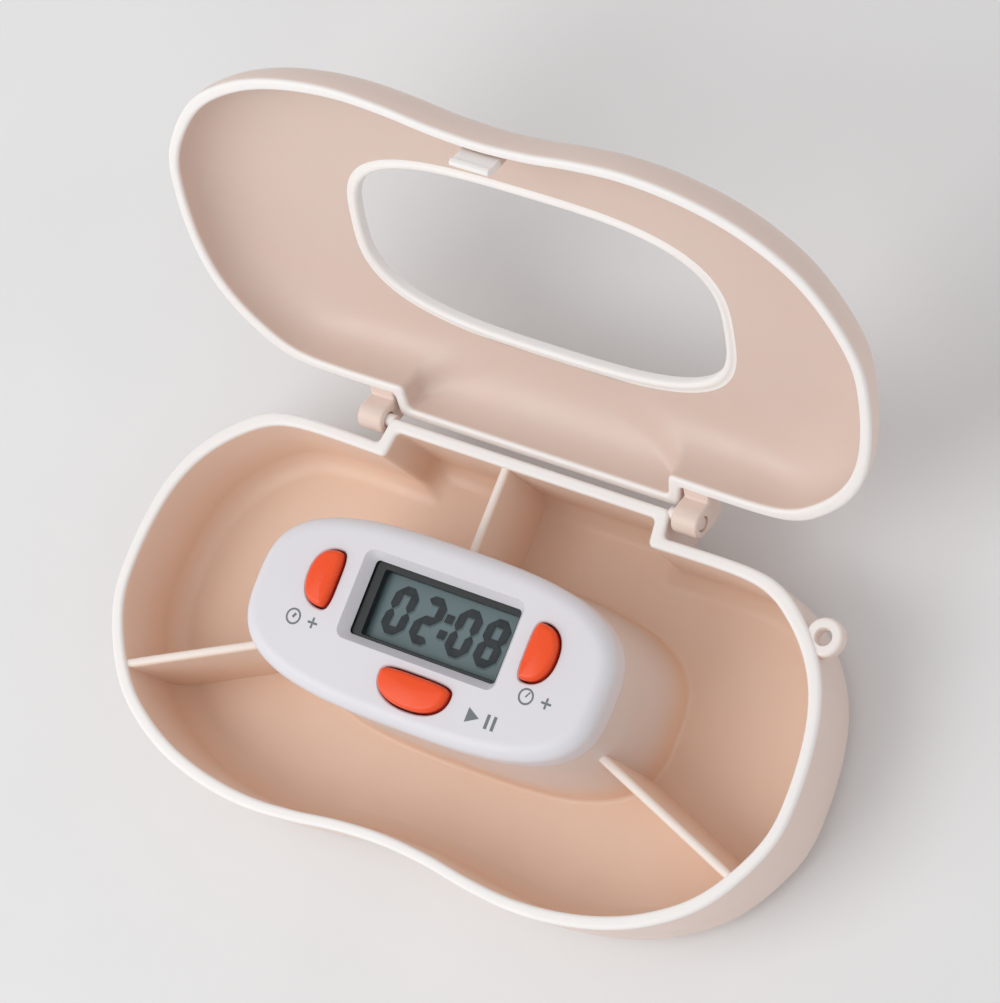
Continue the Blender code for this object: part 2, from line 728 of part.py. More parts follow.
def lid_rings():
    """Return the lid's rings from the rim, over the dome, round the window and back inside."""
    half_length = FACE_HALF_LENGTH + WINDOW_GAP
    half_width = FACE_HALF_WIDTH + WINDOW_GAP
    inner_edge = LID_WALL - EDGE_ROUND
    rings = [
        level(shell_curve(EDGE_ROUND, EDGE_ROUND), LID_RIM_Z),
        level(shell_curve(0.0, 0.0), LID_RIM_Z + EDGE_ROUND),
    ]
    outer = dome_rings(0.0, DOME_STEPS)
    rings += outer
    top = LID_TOP_Z
    bottom = LID_TOP_Z - LID_WALL
    top_edge = level(oval(half_length + WINDOW_ROUND, half_width + WINDOW_ROUND), top)
    bottom_edge = level(oval(half_length + WINDOW_ROUND, half_width + WINDOW_ROUND), bottom)
    for step in range(1, TOP_STEPS):
        rings.append(blend(outer[-1], top_edge, step / TOP_STEPS))
    rings.append(top_edge)
    rings.append(level(oval(half_length, half_width), top - WINDOW_ROUND))
    rings.append(level(oval(half_length, half_width), bottom + WINDOW_ROUND / 2))
    rings.append(bottom_edge)
    inner = dome_rings(LID_WALL, DOME_STEPS)
    for step in range(1, TOP_STEPS):
        rings.append(blend(bottom_edge, inner[-1], step / TOP_STEPS))
    rings += list(reversed(inner))
    rings.append(level(shell_curve(LID_WALL, LID_WALL), LID_RIM_Z + EDGE_ROUND))
    rings.append(level(shell_curve(inner_edge, inner_edge), LID_RIM_Z))
    return to_hinge(rings)


def add_hinge_arms(lid):
    """Fuse the two arms beside the bump and drill them for the studs."""
    root = -(HINGE_BACK + LID_WALL / 2)
    bottom = HINGE_DROP + SEAM_GAP + EDGE_ROUND
    top = bottom + ARM_RISE
    middle = (bottom + top) / 2
    arm = [
        (ARM_RADIUS * math.cos(angle), ARM_RADIUS * math.sin(angle))
        for angle in (math.pi + math.pi * i / HINGE_SEGMENTS * 2 for i in range(HINGE_SEGMENTS // 2 + 1))
    ]
    arm += [(ARM_RADIUS, middle), (ARM_RADIUS / 2, top), (root, top), (root, bottom), (-ARM_RADIUS, bottom)]
    web_top = middle + ARM_RISE / 4
    web = [(root, middle), (-STUD_RADIUS, middle), (-STUD_RADIUS, web_top), (root, web_top)]
    hole = circle(STUD_RADIUS + STUD_GAP, SMALL_SEGMENTS)
    for side in (-1, 1):
        start = side * ARM_START
        end = side * ARM_END
        join(lid, beam("arm", arm, start, end))
        join(lid, beam("web", web, side * (BUMP_HALF - LID_WALL / 2), start + side * ARM_WIDTH / 2))
        cut(lid, beam("arm_hole", hole, start - side * FIT_GAP / 2, end + side * OVERRUN))


def add_latch(lid):
    """Fuse the latch tab inside the front rim, with its barb."""
    half = LATCH_WIDTH / 2
    outer = latch_outer_y() - HINGE_Y
    rim = LID_RIM_Z - HINGE_Z
    tab = [
        (outer, rim + LATCH_ABOVE), (outer, rim - LATCH_BELOW / 2),
        (outer - LATCH_BARB, rim - LATCH_BELOW * 3 / 4), (outer, rim - LATCH_BELOW),
        (outer + LATCH_THICKNESS / 2, rim - LATCH_BELOW), (outer + LATCH_THICKNESS, rim + LATCH_ABOVE),
    ]
    join(lid, beam("latch", tab, -half, half))


def make_lid(surface, parent):
    """Return the lid, open on its hinge."""
    lid = loft("lid", lid_rings(), surface, closed=True)
    add_hinge_arms(lid)
    add_latch(lid)
    lid.rotation_euler = (-LID_OPEN_ANGLE, 0.0, 0.0)
    return place(lid, 0.0, HINGE_Y, HINGE_Z, parent)


# Timer face
def face_ring(inset, z):
    """Return the face's outline drawn in by a distance, at a height."""
    return level(oval(FACE_HALF_LENGTH - inset, FACE_HALF_WIDTH - inset, FACE_STEPS), z)


def face_rings():
    """Return the face's rings from the plate's top, round the skirt, to the plate's underside."""
    rings = []
    for step in range(CORNER_STEPS + 1):
        angle = math.pi / 2 * step / CORNER_STEPS
        inset = FACE_ROUND * (1 - math.sin(angle))
        z = FACE_TOP_Z - FACE_ROUND * (1 - math.cos(angle))
        rings.append(face_ring(inset, z))
    rings.append(face_ring(0.0, FACE_BOTTOM_Z + EDGE_ROUND))
    rings.append(face_ring(EDGE_ROUND, FACE_BOTTOM_Z))
    skirt = FACE_OVERHANG + POST_WALL / 2
    rings.append(face_ring(skirt, FACE_BOTTOM_Z))
    rings.append(face_ring(skirt, FACE_UNDER_Z))
    return rings


def key_outline(which):
    """Return a key's outline at its place on the face."""
    if which == "start":
        points = turned(key_curve(START_KEY_DEPTH, START_KEY_WIDTH), -math.pi / 2)
        x = START_KEY_OFFSET
        y = HALF_DEPTH - START_KEY_FROM_REAR
    else:
        side = 1 if which == "minute" else -1
        points = turned(key_curve(SIDE_KEY_DEPTH, SIDE_KEY_WIDTH), 0.0 if side > 0 else math.pi)
        x = side * SIDE_KEY_OFFSET
        y = HALF_DEPTH - SIDE_KEY_FROM_REAR
    return points, x, y


def make_timer_face(surface, parent):
    """Return the white face with its display recess, key holes and screw bosses."""
    face = loft("timer_face", face_rings(), surface)
    boss_bottom = BASE_BOSS_HEIGHT + FIT_GAP
    board_boss_bottom = BOARD_TOP_Z + FIT_GAP
    board_screw_y = TIMER_Y - BOARD_SCREW_FORWARD
    bury = FACE_UNDER_Z + FACE_PLATE / 2
    for side in (-1, 1):
        x = side * FACE_SCREW_OFFSET
        join(face, prism("boss", circle(FACE_BOSS_RADIUS, ROUND_SEGMENTS, x, TIMER_Y), boss_bottom, bury))
        bore = circle(SCREW_RADIUS + SCREW_GAP, SMALL_SEGMENTS, x, TIMER_Y)
        bore_top = boss_bottom + FACE_SCREW_GRIP + SCREW_END_GAP
        cut(face, prism("bore", bore, boss_bottom - OVERRUN, bore_top))
        x = side * BOARD_SCREW_OFFSET
        boss = circle(BOARD_BOSS_RADIUS, SMALL_SEGMENTS, x, board_screw_y)
        join(face, prism("boss", boss, board_boss_bottom, bury))
        bore = circle(BOARD_SCREW_RADIUS + STUD_GAP, SMALL_SEGMENTS, x, board_screw_y)
        bore_top = board_boss_bottom + BOARD_SCREW_GRIP + FIT_GAP
        cut(face, prism("bore", bore, board_boss_bottom - OVERRUN, bore_top))
    for which in ("hour", "minute", "start"):
        points, x, y = key_outline(which)
        hole = [(x + px, y + py) for px, py in offset(points, FIT_GAP)]
        cut(face, prism("key_hole", hole, FACE_UNDER_Z - OVERRUN, FACE_TOP_Z + OVERRUN))
    cut_screen(face)
    return place(face, 0.0, 0.0, 0.0, parent)


def cut_screen(face):
    """Cut the display opening, wider at the top than below."""
    slope = SCREEN_BEVEL / FACE_PLATE
    rings = []
    for z in (FACE_UNDER_Z - OVERRUN, FACE_UNDER_Z, FACE_TOP_Z, FACE_TOP_Z + OVERRUN):
        grow = 2 * (SCREEN_BORDER + max(0.0, z - FACE_UNDER_Z) * slope)
        curve = rounded_rectangle(SCREEN_LENGTH + grow, SCREEN_WIDTH + grow, SCREEN_CORNER, 0.0, SCREEN_Y)
        rings.append(level(curve, z))
    cut(face, loft("screen", rings))


# Display
def make_display(bezel_surface, glass_surface, zebra_surface, parent):
    """Return the black bezel, the liquid crystal cell and its rubber connector."""
    length = SCREEN_LENGTH + 2 * GLASS_MARGIN_LENGTH
    width = SCREEN_WIDTH + 2 * GLASS_MARGIN_WIDTH
    bezel_top = FACE_UNDER_Z - FIT_GAP
    bezel_bottom = bezel_top - BEZEL_THICKNESS
    outline = rounded_rectangle(length, width, SCREEN_CORNER)
    bezel = prism("display_bezel", outline, 0.0, BEZEL_THICKNESS, bezel_surface)
    opening = rounded_rectangle(SCREEN_LENGTH, SCREEN_WIDTH, SCREEN_CORNER)
    cut(bezel, prism("opening", opening, -OVERRUN, BEZEL_THICKNESS + OVERRUN))
    place(bezel, 0.0, SCREEN_Y, bezel_bottom, parent)
    cell_bottom = bezel_bottom - FIT_GAP - GLASS_THICKNESS
    step = GLASS_MARGIN_WIDTH / 2
    x_range = (-length / 2, length / 2)
    cell = box("display_cell", x_range, (-width / 2, width / 2), (0.0, GLASS_THICKNESS / 2), glass_surface)
    front = box(
        "front_glass", x_range, (-width / 2 + step, width / 2), (GLASS_THICKNESS / 4, GLASS_THICKNESS),
    )
    join(cell, front)
    place(cell, 0.0, SCREEN_Y, cell_bottom, parent)
    zebra_top = cell_bottom - FIT_GAP
    zebra_bottom = BOARD_TOP_Z + FIT_GAP
    y_range = (-ZEBRA_WIDTH / 2, ZEBRA_WIDTH / 2)
    zebra = box("zebra_strip", x_range, y_range, (0.0, zebra_top - zebra_bottom), zebra_surface)
    place(zebra, 0.0, SCREEN_Y - width / 2 + ZEBRA_WIDTH / 2, zebra_bottom, parent)


# Keys
def make_key(name, which, surface, pad_surface, parent):
    """Return a key with its flange and stem, and the rubber pad under it."""
    points, x, y = key_outline(which)
    top = FACE_TOP_Z + KEY_PROUD
    flange_top = FACE_UNDER_Z - FIT_GAP
    flange_bottom = flange_top - KEY_FLANGE
    wide = offset(points, KEY_FLANGE_MARGIN)
    narrow = offset(points, -KEY_FLANGE_MARGIN)
    rings = [
        level(narrow, flange_bottom - KEY_STEM - top), level(narrow, flange_bottom - top),
        level(wide, flange_bottom - top), level(wide, flange_top - top),
        level(points, flange_top - top), level(points, -KEY_EDGE),
        level(offset(points, -KEY_EDGE / 3), -KEY_EDGE / 3), level(offset(points, -KEY_EDGE), 0.0),
    ]
    key = loft(name + "_button", rings, surface)
    place(key, x, y, top, parent)
    pad_top = flange_bottom - KEY_STEM - FIT_GAP
    pad_height = pad_top - BOARD_TOP_Z - KEY_TRAVEL - PAD_GAP
    profile = [
        (PAD_TIP_RADIUS, -pad_height), (PAD_TIP_RADIUS, -pad_height / 2),
        (PAD_RADIUS, -pad_height / 4), (PAD_RADIUS, 0.0),
    ]
    pad = revolve(name + "_pad", profile, SMALL_SEGMENTS, pad_surface)
    place(pad, 0.0, 0.0, pad_top - top, key)


# Circuit board
def make_board(surface, parent):
    """Return the circuit board with its two screw holes."""
    outline = rounded_rectangle(BOARD_LENGTH, BOARD_WIDTH, BOARD_CORNER)
    board = prism("circuit_board", outline, 0.0, BOARD_THICKNESS, surface)
    for side in (-1, 1):
        x = side * BOARD_SCREW_OFFSET
        hole = circle(BOARD_SCREW_RADIUS + SCREW_GAP, SMALL_SEGMENTS, x, -BOARD_SCREW_FORWARD)
        cut(board, prism("hole", hole, -OVERRUN, BOARD_THICKNESS + OVERRUN))
    place(board, 0.0, TIMER_Y, BOARD_BOTTOM_Z, parent)


def make_board_parts(chip_surface, can_surface, buzzer_surface, parent):
    """Return the chip's resin cap, the quartz can and the buzzer below the board."""
    rings = [(CHIP_RADIUS, 0.0), (CHIP_RADIUS * math.cos(math.pi / 6), -CHIP_HEIGHT / 2)]
    rings.append((CHIP_RADIUS / 2, -CHIP_HEIGHT * math.sin(math.pi / 3)))
    rings.append((CHIP_RADIUS / 4, -CHIP_HEIGHT))
    chip = revolve("chip_blob", rings, SMALL_SEGMENTS, chip_surface)
    place(chip, CHIP_OFFSET, TIMER_Y, UNDER_BOARD_Z, parent)
    can = [(y, z - CRYSTAL_RADIUS) for y, z in circle(CRYSTAL_RADIUS, SMALL_SEGMENTS)]
    crystal = loft("quartz_crystal", [
        [Vector((y, 0.0, z)) for y, z in can], [Vector((y, CRYSTAL_LENGTH, z)) for y, z in can],
    ], can_surface)
    place(crystal, CRYSTAL_OFFSET, TIMER_Y + CRYSTAL_REARWARD, UNDER_BOARD_Z, parent)
    buzzer = revolve("buzzer", [
        (BUZZER_RADIUS, 0.0), (BUZZER_RADIUS, -BUZZER_HEIGHT + EDGE_ROUND),
        (BUZZER_RADIUS - EDGE_ROUND, -BUZZER_HEIGHT),
    ], ROUND_SEGMENTS, buzzer_surface)
    port = circle(BUZZER_PORT_RADIUS, SMALL_SEGMENTS)
    cut(buzzer, prism("port", port, -BUZZER_HEIGHT - OVERRUN, -BUZZER_HEIGHT + BUZZER_PORT_DEPTH))
    place(buzzer, BUZZER_OFFSET, TIMER_Y, UNDER_BOARD_Z, parent)


# Battery
def make_battery(cell_surface, contact_surface, parent):
    """Return the button cell and the two bent contacts that reach the board."""
    shoulder = CELL_HEIGHT - CELL_CAP_HEIGHT
    profile = [
        (CELL_RADIUS - EDGE_ROUND, 0.0), (CELL_RADIUS, EDGE_ROUND), (CELL_RADIUS, shoulder - EDGE_ROUND),
        (CELL_RADIUS - EDGE_ROUND, shoulder), (CELL_CAP_RADIUS, shoulder), (CELL_CAP_RADIUS, CELL_HEIGHT),
    ]
    cell = revolve("button_cell", profile, ROUND_SEGMENTS, cell_surface)
    place(cell, -CELL_OFFSET, TIMER_Y, CELL_BOTTOM_Z, parent)
    rise = UNDER_BOARD_Z - CELL_TOP_Z - FIT_GAP
    half = CONTACT_WIDTH / 2
    thick = CONTACT_THICKNESS
    leaf = [
        Vector((-CONTACT_REACH, 0.0, 0.0)), Vector((CONTACT_REACH, 0.0, 0.0)),
        Vector((CONTACT_REACH, 0.0, rise)), Vector((CONTACT_REACH - thick, 0.0, rise)),
        Vector((CONTACT_REACH - thick, 0.0, thick)), Vector((-CONTACT_REACH, 0.0, thick)),
    ]
    shift = Vector((0.0, half, 0.0))
    minus = loft("battery_contact_minus", [
        [point - shift for point in leaf], [point + shift for point in leaf],
    ], contact_surface)
    place(minus, -CELL_OFFSET, TIMER_Y, CELL_TOP_Z + FIT_GAP, parent)
    side = CELL_RADIUS + FIT_GAP
    drop = UNDER_BOARD_Z - CELL_BOTTOM_Z - CELL_HEIGHT / 4
    clip = [
        Vector((0.0, 0.0, 0.0)), Vector((0.0, 0.0, -drop)), Vector((thick, 0.0, -drop)),
        Vector((thick, 0.0, -thick)), Vector((thick + CONTACT_THICKNESS * 3, 0.0, -thick)),
        Vector((thick + CONTACT_THICKNESS * 3, 0.0, 0.0)),
    ]
    plus = loft("battery_contact_plus", [
        [point - shift for point in clip], [point + shift for point in clip],
    ], contact_surface)
    plus.rotation_euler = (0.0, 0.0, math.pi)
    place(plus, -CELL_OFFSET - side, TIMER_Y, UNDER_BOARD_Z, parent)


def make_battery_door(surface, parent):
    """Return the round door with its hub, two tabs and coin slot."""
    top = FLOOR - DOOR_SINK
    hub_top = HUB_TOP_Z - DOOR_SINK
    door = revolve("battery_door", [
        (DOOR_RADIUS - EDGE_ROUND, 0.0), (DOOR_RADIUS, EDGE_ROUND), (DOOR_RADIUS, top),
        (DOOR_HUB_RADIUS, top), (DOOR_HUB_RADIUS, hub_top),
    ], ROUND_SEGMENTS, surface)
    reach = DOOR_HUB_RADIUS + DOOR_TAB_REACH
    half = DOOR_TAB_WIDTH / 2
    start = DOOR_HUB_RADIUS - DOOR_TAB_WIDTH / 2
    for turn in (math.pi / 2 + DOOR_TURN, DOOR_TURN - math.pi / 2):
        tab = turned([(start, -half), (reach, -half), (reach, half), (start, half)], turn)
        join(door, prism("tab", tab, hub_top - DOOR_TAB_THICKNESS, hub_top - FIT_GAP / 4))
    slot = rounded_rectangle(COIN_SLOT_LENGTH, COIN_SLOT_WIDTH, COIN_SLOT_WIDTH / 3)
    cut(door, prism("coin_slot", slot, -OVERRUN, COIN_SLOT_DEPTH))
    place(door, -CELL_OFFSET, TIMER_Y, DOOR_SINK, parent)


# Screws
def make_screw(name, shank, head, surface):
    """Return a cross head screw whose head's face is at the origin and whose shank points up."""
    shank_radius, shank_top = shank
    head_radius, head_height = head
    screw = revolve(name, [
        (head_radius - EDGE_ROUND, 0.0), (head_radius, EDGE_ROUND), (head_radius, head_height),
        (shank_radius, head_height), (shank_radius, shank_top - shank_radius), (shank_radius / 2, shank_top),
    ], SMALL_SEGMENTS, surface)
    share = head_radius / SCREW_HEAD_RADIUS
    reach = CROSS_LENGTH / 2 * share
    half = CROSS_WIDTH / 2 * share
    depth = CROSS_DEPTH * share
    cut(screw, box("slot", (-reach, reach), (-half, half), (-OVERRUN, depth)))
    cut(screw, box("slot", (-half, half), (-reach, reach), (-OVERRUN, depth)))
    return screw


def make_screws(surface, parent):
    """Return the two long screws from the underside and the two short ones that hold the board."""
    shank_top = BASE_BOSS_HEIGHT + FIT_GAP + FACE_SCREW_GRIP - SCREW_SINK
    board_head = UNDER_BOARD_Z - BOARD_SCREW_HEAD_HEIGHT
    board_top = BOARD_TOP_Z + FIT_GAP + BOARD_SCREW_GRIP - board_head
    for word, side in (("left", -1), ("right", 1)):
        screw = make_screw(
            "face_screw_" + word, (SCREW_RADIUS, shank_top),
            (SCREW_HEAD_RADIUS, SCREW_HEAD_HEIGHT), surface,
        )
        place(screw, side * FACE_SCREW_OFFSET, TIMER_Y, SCREW_SINK, parent)
        screw = make_screw(
            "board_screw_" + word, (BOARD_SCREW_RADIUS, board_top),
            (BOARD_SCREW_HEAD_RADIUS, BOARD_SCREW_HEAD_HEIGHT), surface,
        )
        place(screw, side * BOARD_SCREW_OFFSET, TIMER_Y - BOARD_SCREW_FORWARD, board_head, parent)


def build():
    """Build every piece of the pill box."""
    for old in list(bpy.data.objects):
        bpy.data.objects.remove(old)
    ivory = material("ivory_plastic", (0.83, 0.72, 0.64), 0.38)
    ivory_lid = material("ivory_lid_plastic", (0.85, 0.74, 0.66), 0.36)
    white = material("white_plastic", (0.8, 0.79, 0.8), 0.4)
    orange = material("orange_plastic", (0.9, 0.12, 0.02), 0.4)
    black = material("black_plastic", (0.02, 0.02, 0.022), 0.5)
    glass = material("display_glass", (0.2, 0.27, 0.28), 0.15)
    rubber = material("dark_rubber", (0.03, 0.03, 0.032), 0.75)
    green = material("board_green", (0.02, 0.16, 0.06), 0.45)
    steel = material("steel", (0.62, 0.62, 0.64), 0.3, 1.0)
    base = make_base_tray(ivory)
    make_lid(ivory_lid, base)
    make_timer_face(white, base)
    make_display(black, glass, rubber, base)
    for name in ("hour", "minute", "start"):
        make_key(name, name, orange, rubber, base)
    make_board(green, base)
    make_board_parts(black, steel, black, base)
    make_battery(steel, steel, base)
    make_battery_door(ivory, base)
    make_screws(steel, base)


build()
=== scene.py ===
"""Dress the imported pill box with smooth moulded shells, timer cover, keys, display, screws and a studio."""

import math
from functools import lru_cache

import bmesh
import bpy
from bpy.props import FloatProperty, FloatVectorProperty, PointerProperty, StringProperty
from mathutils import Matrix, Vector


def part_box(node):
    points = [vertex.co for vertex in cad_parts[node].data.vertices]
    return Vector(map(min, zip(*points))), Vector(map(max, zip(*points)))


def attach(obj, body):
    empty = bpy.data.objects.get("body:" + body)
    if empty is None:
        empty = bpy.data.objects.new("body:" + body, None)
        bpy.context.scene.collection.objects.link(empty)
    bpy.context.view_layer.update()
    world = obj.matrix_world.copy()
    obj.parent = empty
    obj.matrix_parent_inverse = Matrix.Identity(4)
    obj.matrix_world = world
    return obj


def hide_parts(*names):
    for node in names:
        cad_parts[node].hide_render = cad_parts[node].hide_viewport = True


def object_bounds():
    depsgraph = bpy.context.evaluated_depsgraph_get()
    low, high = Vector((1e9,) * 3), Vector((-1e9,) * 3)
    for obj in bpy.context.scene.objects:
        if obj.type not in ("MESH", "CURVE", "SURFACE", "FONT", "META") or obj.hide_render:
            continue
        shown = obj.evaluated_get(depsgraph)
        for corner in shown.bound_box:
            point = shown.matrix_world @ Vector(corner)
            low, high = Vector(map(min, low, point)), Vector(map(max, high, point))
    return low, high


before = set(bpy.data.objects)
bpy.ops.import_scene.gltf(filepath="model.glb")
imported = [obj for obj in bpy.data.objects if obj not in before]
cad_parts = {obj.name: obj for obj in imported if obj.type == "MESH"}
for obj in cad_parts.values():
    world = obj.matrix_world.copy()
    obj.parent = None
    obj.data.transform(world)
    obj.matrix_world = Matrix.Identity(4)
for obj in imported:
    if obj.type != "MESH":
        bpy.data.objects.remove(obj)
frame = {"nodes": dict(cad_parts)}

bl_info = {
    "name": "Pill box with timer",
    "version": (1, 0, 0),
    "blender": (4, 5, 0),
    "location": "View3D > Sidebar > Pill Box",
    "description": "Moulded shells, timer cover, keys, display, screws and studio for a pill box",
    "category": "Object",
}

MM = 0.001
FRAME_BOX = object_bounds()
COVER_LOW, COVER_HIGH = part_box("timer_face")
PANEL_LOW, PANEL_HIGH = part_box("display_cell")
BEZEL_LOW, BEZEL_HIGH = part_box("display_bezel")
HATCH_LOW, HATCH_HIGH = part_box("battery_door")
COVER_LOW_Z = COVER_HIGH.z - 3.6 * MM
COVER_UNDER_Z = COVER_HIGH.z - 1.4 * MM
TIMER_Y = (COVER_LOW.y + COVER_HIGH.y) / 2
SCREEN_Y = (BEZEL_LOW.y + BEZEL_HIGH.y) / 2
HATCH_X = (HATCH_LOW.x + HATCH_HIGH.x) / 2

# Outline of both shells from the rear centre to the front centre, as shares of half the length and depth
OUTLINE_SHARES = (
    (0.0, 1.0), (0.356, 1.0), (0.7, 0.995), (0.77, 0.955), (0.832, 0.872), (0.9, 0.736), (0.95, 0.575),
    (0.983, 0.37), (1.0, 0.05), (0.99, -0.215), (0.933, -0.475), (0.862, -0.665), (0.764, -0.812),
    (0.66, -0.91), (0.53, -0.976), (0.4, -1.0), (0.27, -0.982), (0.135, -0.943), (0.0, -0.927),
)
OVAL_POWER = 3.05
CURVE_STEPS = 18
CREST_STEPS = 22
CORNER_POINTS = 6
SLANT_STEPS = 6
SIDE_STEPS = 150
HALF_STEPS = CREST_STEPS + SLANT_STEPS + SIDE_STEPS + 2 * CORNER_POINTS
COVER_STEPS = 110
ROUND_STEPS = 10
EDGE_STEPS = 6
DOME_STEPS = 30
SMALL_STEPS = 48
FINER = 6
SAMPLES = 1000
SHARP_ANGLE = math.radians(30.0)
BEVEL_ANGLE = math.radians(35.0)
STRAIGHT_ANGLE = 0.001

# Material numbers of the tray and the lid
OUTSIDE, INSIDE, RIM, POST, ARM = 0, 1, 2, 2, 3

OVERRUN = 1.0 * MM
LEAST_SLANT, MOST_SLANT, SLANT_GROWTH, SLANT_START = 0.4 * MM, 7.0 * MM, 9.0 * MM, 0.04
LEAST_BUMP, LEAST_STEP, ROUND_SHARE = 0.01 * MM, 0.05 * MM, 0.45
DOME_POWER = 2.6
SKIRT_WALL = 0.65 * MM
RIM_GAP = 0.3 * MM
WINDOW_GAP, WINDOW_EDGE, WINDOW_BEAD = 0.5 * MM, 0.45 * MM, 1.3 * MM

# Places along half a curve, as shares of its length
POST_SHARE, RIGHT_SHARE, LEFT_SHARE = 0.6, 0.53125, 0.55
EYELET_SHARE, EYELET_SPAN = 0.234, 0.031

# Fittings of the tray and the lid, the profiles in millimetres
REAR_DIVIDER_X = -2.7 * MM
LONG_SCREW_X = COVER_HIGH.x - 4.4 * MM
BOSS_RADIUS, BOSS_FOOT, BOSS_TOP = 2.6 * MM, 0.7 * MM, 9.0 * MM
HATCH_RADIUS, NOTCH_HALF, NOTCH_REACH = 7.1 * MM, 1.8 * MM, 7.9 * MM
DIVIDER_DROP, DIVIDER_BEND = 0.4 * MM, 0.42
STUD_RADIUS, STUD_REACH = 0.8 * MM, 3.45 * MM
ARM_RADIUS, ARM_HOLE, ARM_START, ARM_END = 1.7 * MM, 0.95 * MM, 0.3 * MM, 3.6 * MM
ARM_FOOT, ARM_THICK, ARM_HOLE_GAP, ARM_STEPS = 0.55 * MM, 2.2 * MM, 0.15 * MM, 36
WEB_REACH, WEB_THICK, WEB_SIDE, LATCH_GAP = 0.8 * MM, 0.55 * MM, 1.65 * MM, 0.3 * MM
EYELET_RADIUS, EYELET_THICK, EYELET_REACH, EYELET_DROP = 2.2 * MM, 1.7 * MM, 1.2 * MM, 0.3 * MM
EYELET_HOLE = ((1.3, -2.2), (0.9, -1.4), (0.9, -0.3), (1.3, 0.4))
SCREW_SINK = ((2.25, -0.3), (1.95, 0.0), (1.95, 2.1), (1.0, 2.1), (1.0, 10.0))
LATCH_TAB = ((0.0, 4.1), (0.0, -1.0), (-0.2, -1.5), (0.0, -2.0), (0.5, -2.0), (1.0, -1.0), (1.0, 4.1))
LATCH_HALF, CATCH_HALF = 2.5 * MM, 3.3 * MM
CATCH_LOW, CATCH_HIGH, CATCH_DEEP = 10.5 * MM, 12.2 * MM, 0.35 * MM
STUD_EDGE, EYELET_EDGE, ARM_EDGE, LATCH_EDGE = 0.18 * MM, 0.45 * MM, 0.3 * MM, 0.15 * MM

# Distances from a rim, and heights over the underside, at which a tint starts and at which it is full:
# painted light along the rims, and painted shade towards the tray's floor and the post's foot
RIM_FADE, LID_RIM_FADE = (0.75 * MM, 0.1 * MM), (0.7 * MM, 0.12 * MM)
FLOOR_FADE, POST_FADE = (11.0 * MM, 1.4 * MM), (7.0 * MM, 1.6 * MM)

# Bosses of the cover in millimetres: across, forward, radius, foot, and the bore's radius, foot and end
BOSSES = ((18.8, 0.0, 1.7, 9.3, 1.0, 8.0, 15.4), (14.0, 4.3, 1.2, 14.7, 0.65, 13.0, 18.0))

# Each key's name, depth and width in millimetres, and turn, and how its D outline bulges
KEY_SHAPES = (("hour", 3.6, 6.5, math.pi), ("minute", 3.6, 6.5, 0.0), ("start", 3.8, 9.0, -math.pi / 2))
BULGE_SHARE, BULGE_POWER, FLAT_POWER = 0.76, 2.3, 3.6

# Places of the printed marks in millimetres, and the reach and width of each dial's hand
HOUR_MARK, MINUTE_MARK, START_MARK = (-15.0, -2.9, 0.3, 0.3), (15.8, -2.5, 0.55, 0.18), (10.5, -6.5)

# Tabs, coin slot and resting angle of the battery door, the slot's rows in millimetres
TAB_START, TAB_END, TAB_HALF, TAB_THICK, TAB_CLEAR = 4.8 * MM, 7.6 * MM, 1.5 * MM, 0.8 * MM, 0.075 * MM
SLOT_LENGTH, SLOT_WIDTH, SLOT_CORNER = 8.6 * MM, 1.4 * MM, 0.65 * MM
DOOR_TURN = math.radians(50.0)
SLOT_ROWS = ((0.5, -0.3), (0.25, 0.2), (0.0, 0.4), (0.0, 0.9))

SIDES = (-1, 1)
CORNERS = ((1, 1), (-1, 1), (-1, -1), (1, -1))


def srgb(red, green, blue):
    """Return a colour given in everyday 0 to 255 steps as linear light."""
    parts = [part / 255 for part in (red, green, blue)]
    return tuple(part / 12.92 if part <= 0.04045 else ((part + 0.055) / 1.055) ** 2.4 for part in parts)


BACKDROP = srgb(240, 240, 241)


def length(name, description, millimetres):
    """Return a length property given in millimetres."""
    return FloatProperty(
        name=name, description=description, default=millimetres * MM, subtype="DISTANCE", unit="LENGTH",
    )


def angle(name, description, degrees):
    """Return an angle property given in degrees."""
    return FloatProperty(
        name=name, description=description, default=math.radians(degrees), subtype="ANGLE", unit="ROTATION",
    )


def colour(name, description, *parts):
    """Return a colour property."""
    return FloatVectorProperty(
        name=name, description=description, default=srgb(*parts), subtype="COLOR", size=3, min=0.0, max=1.0,
    )


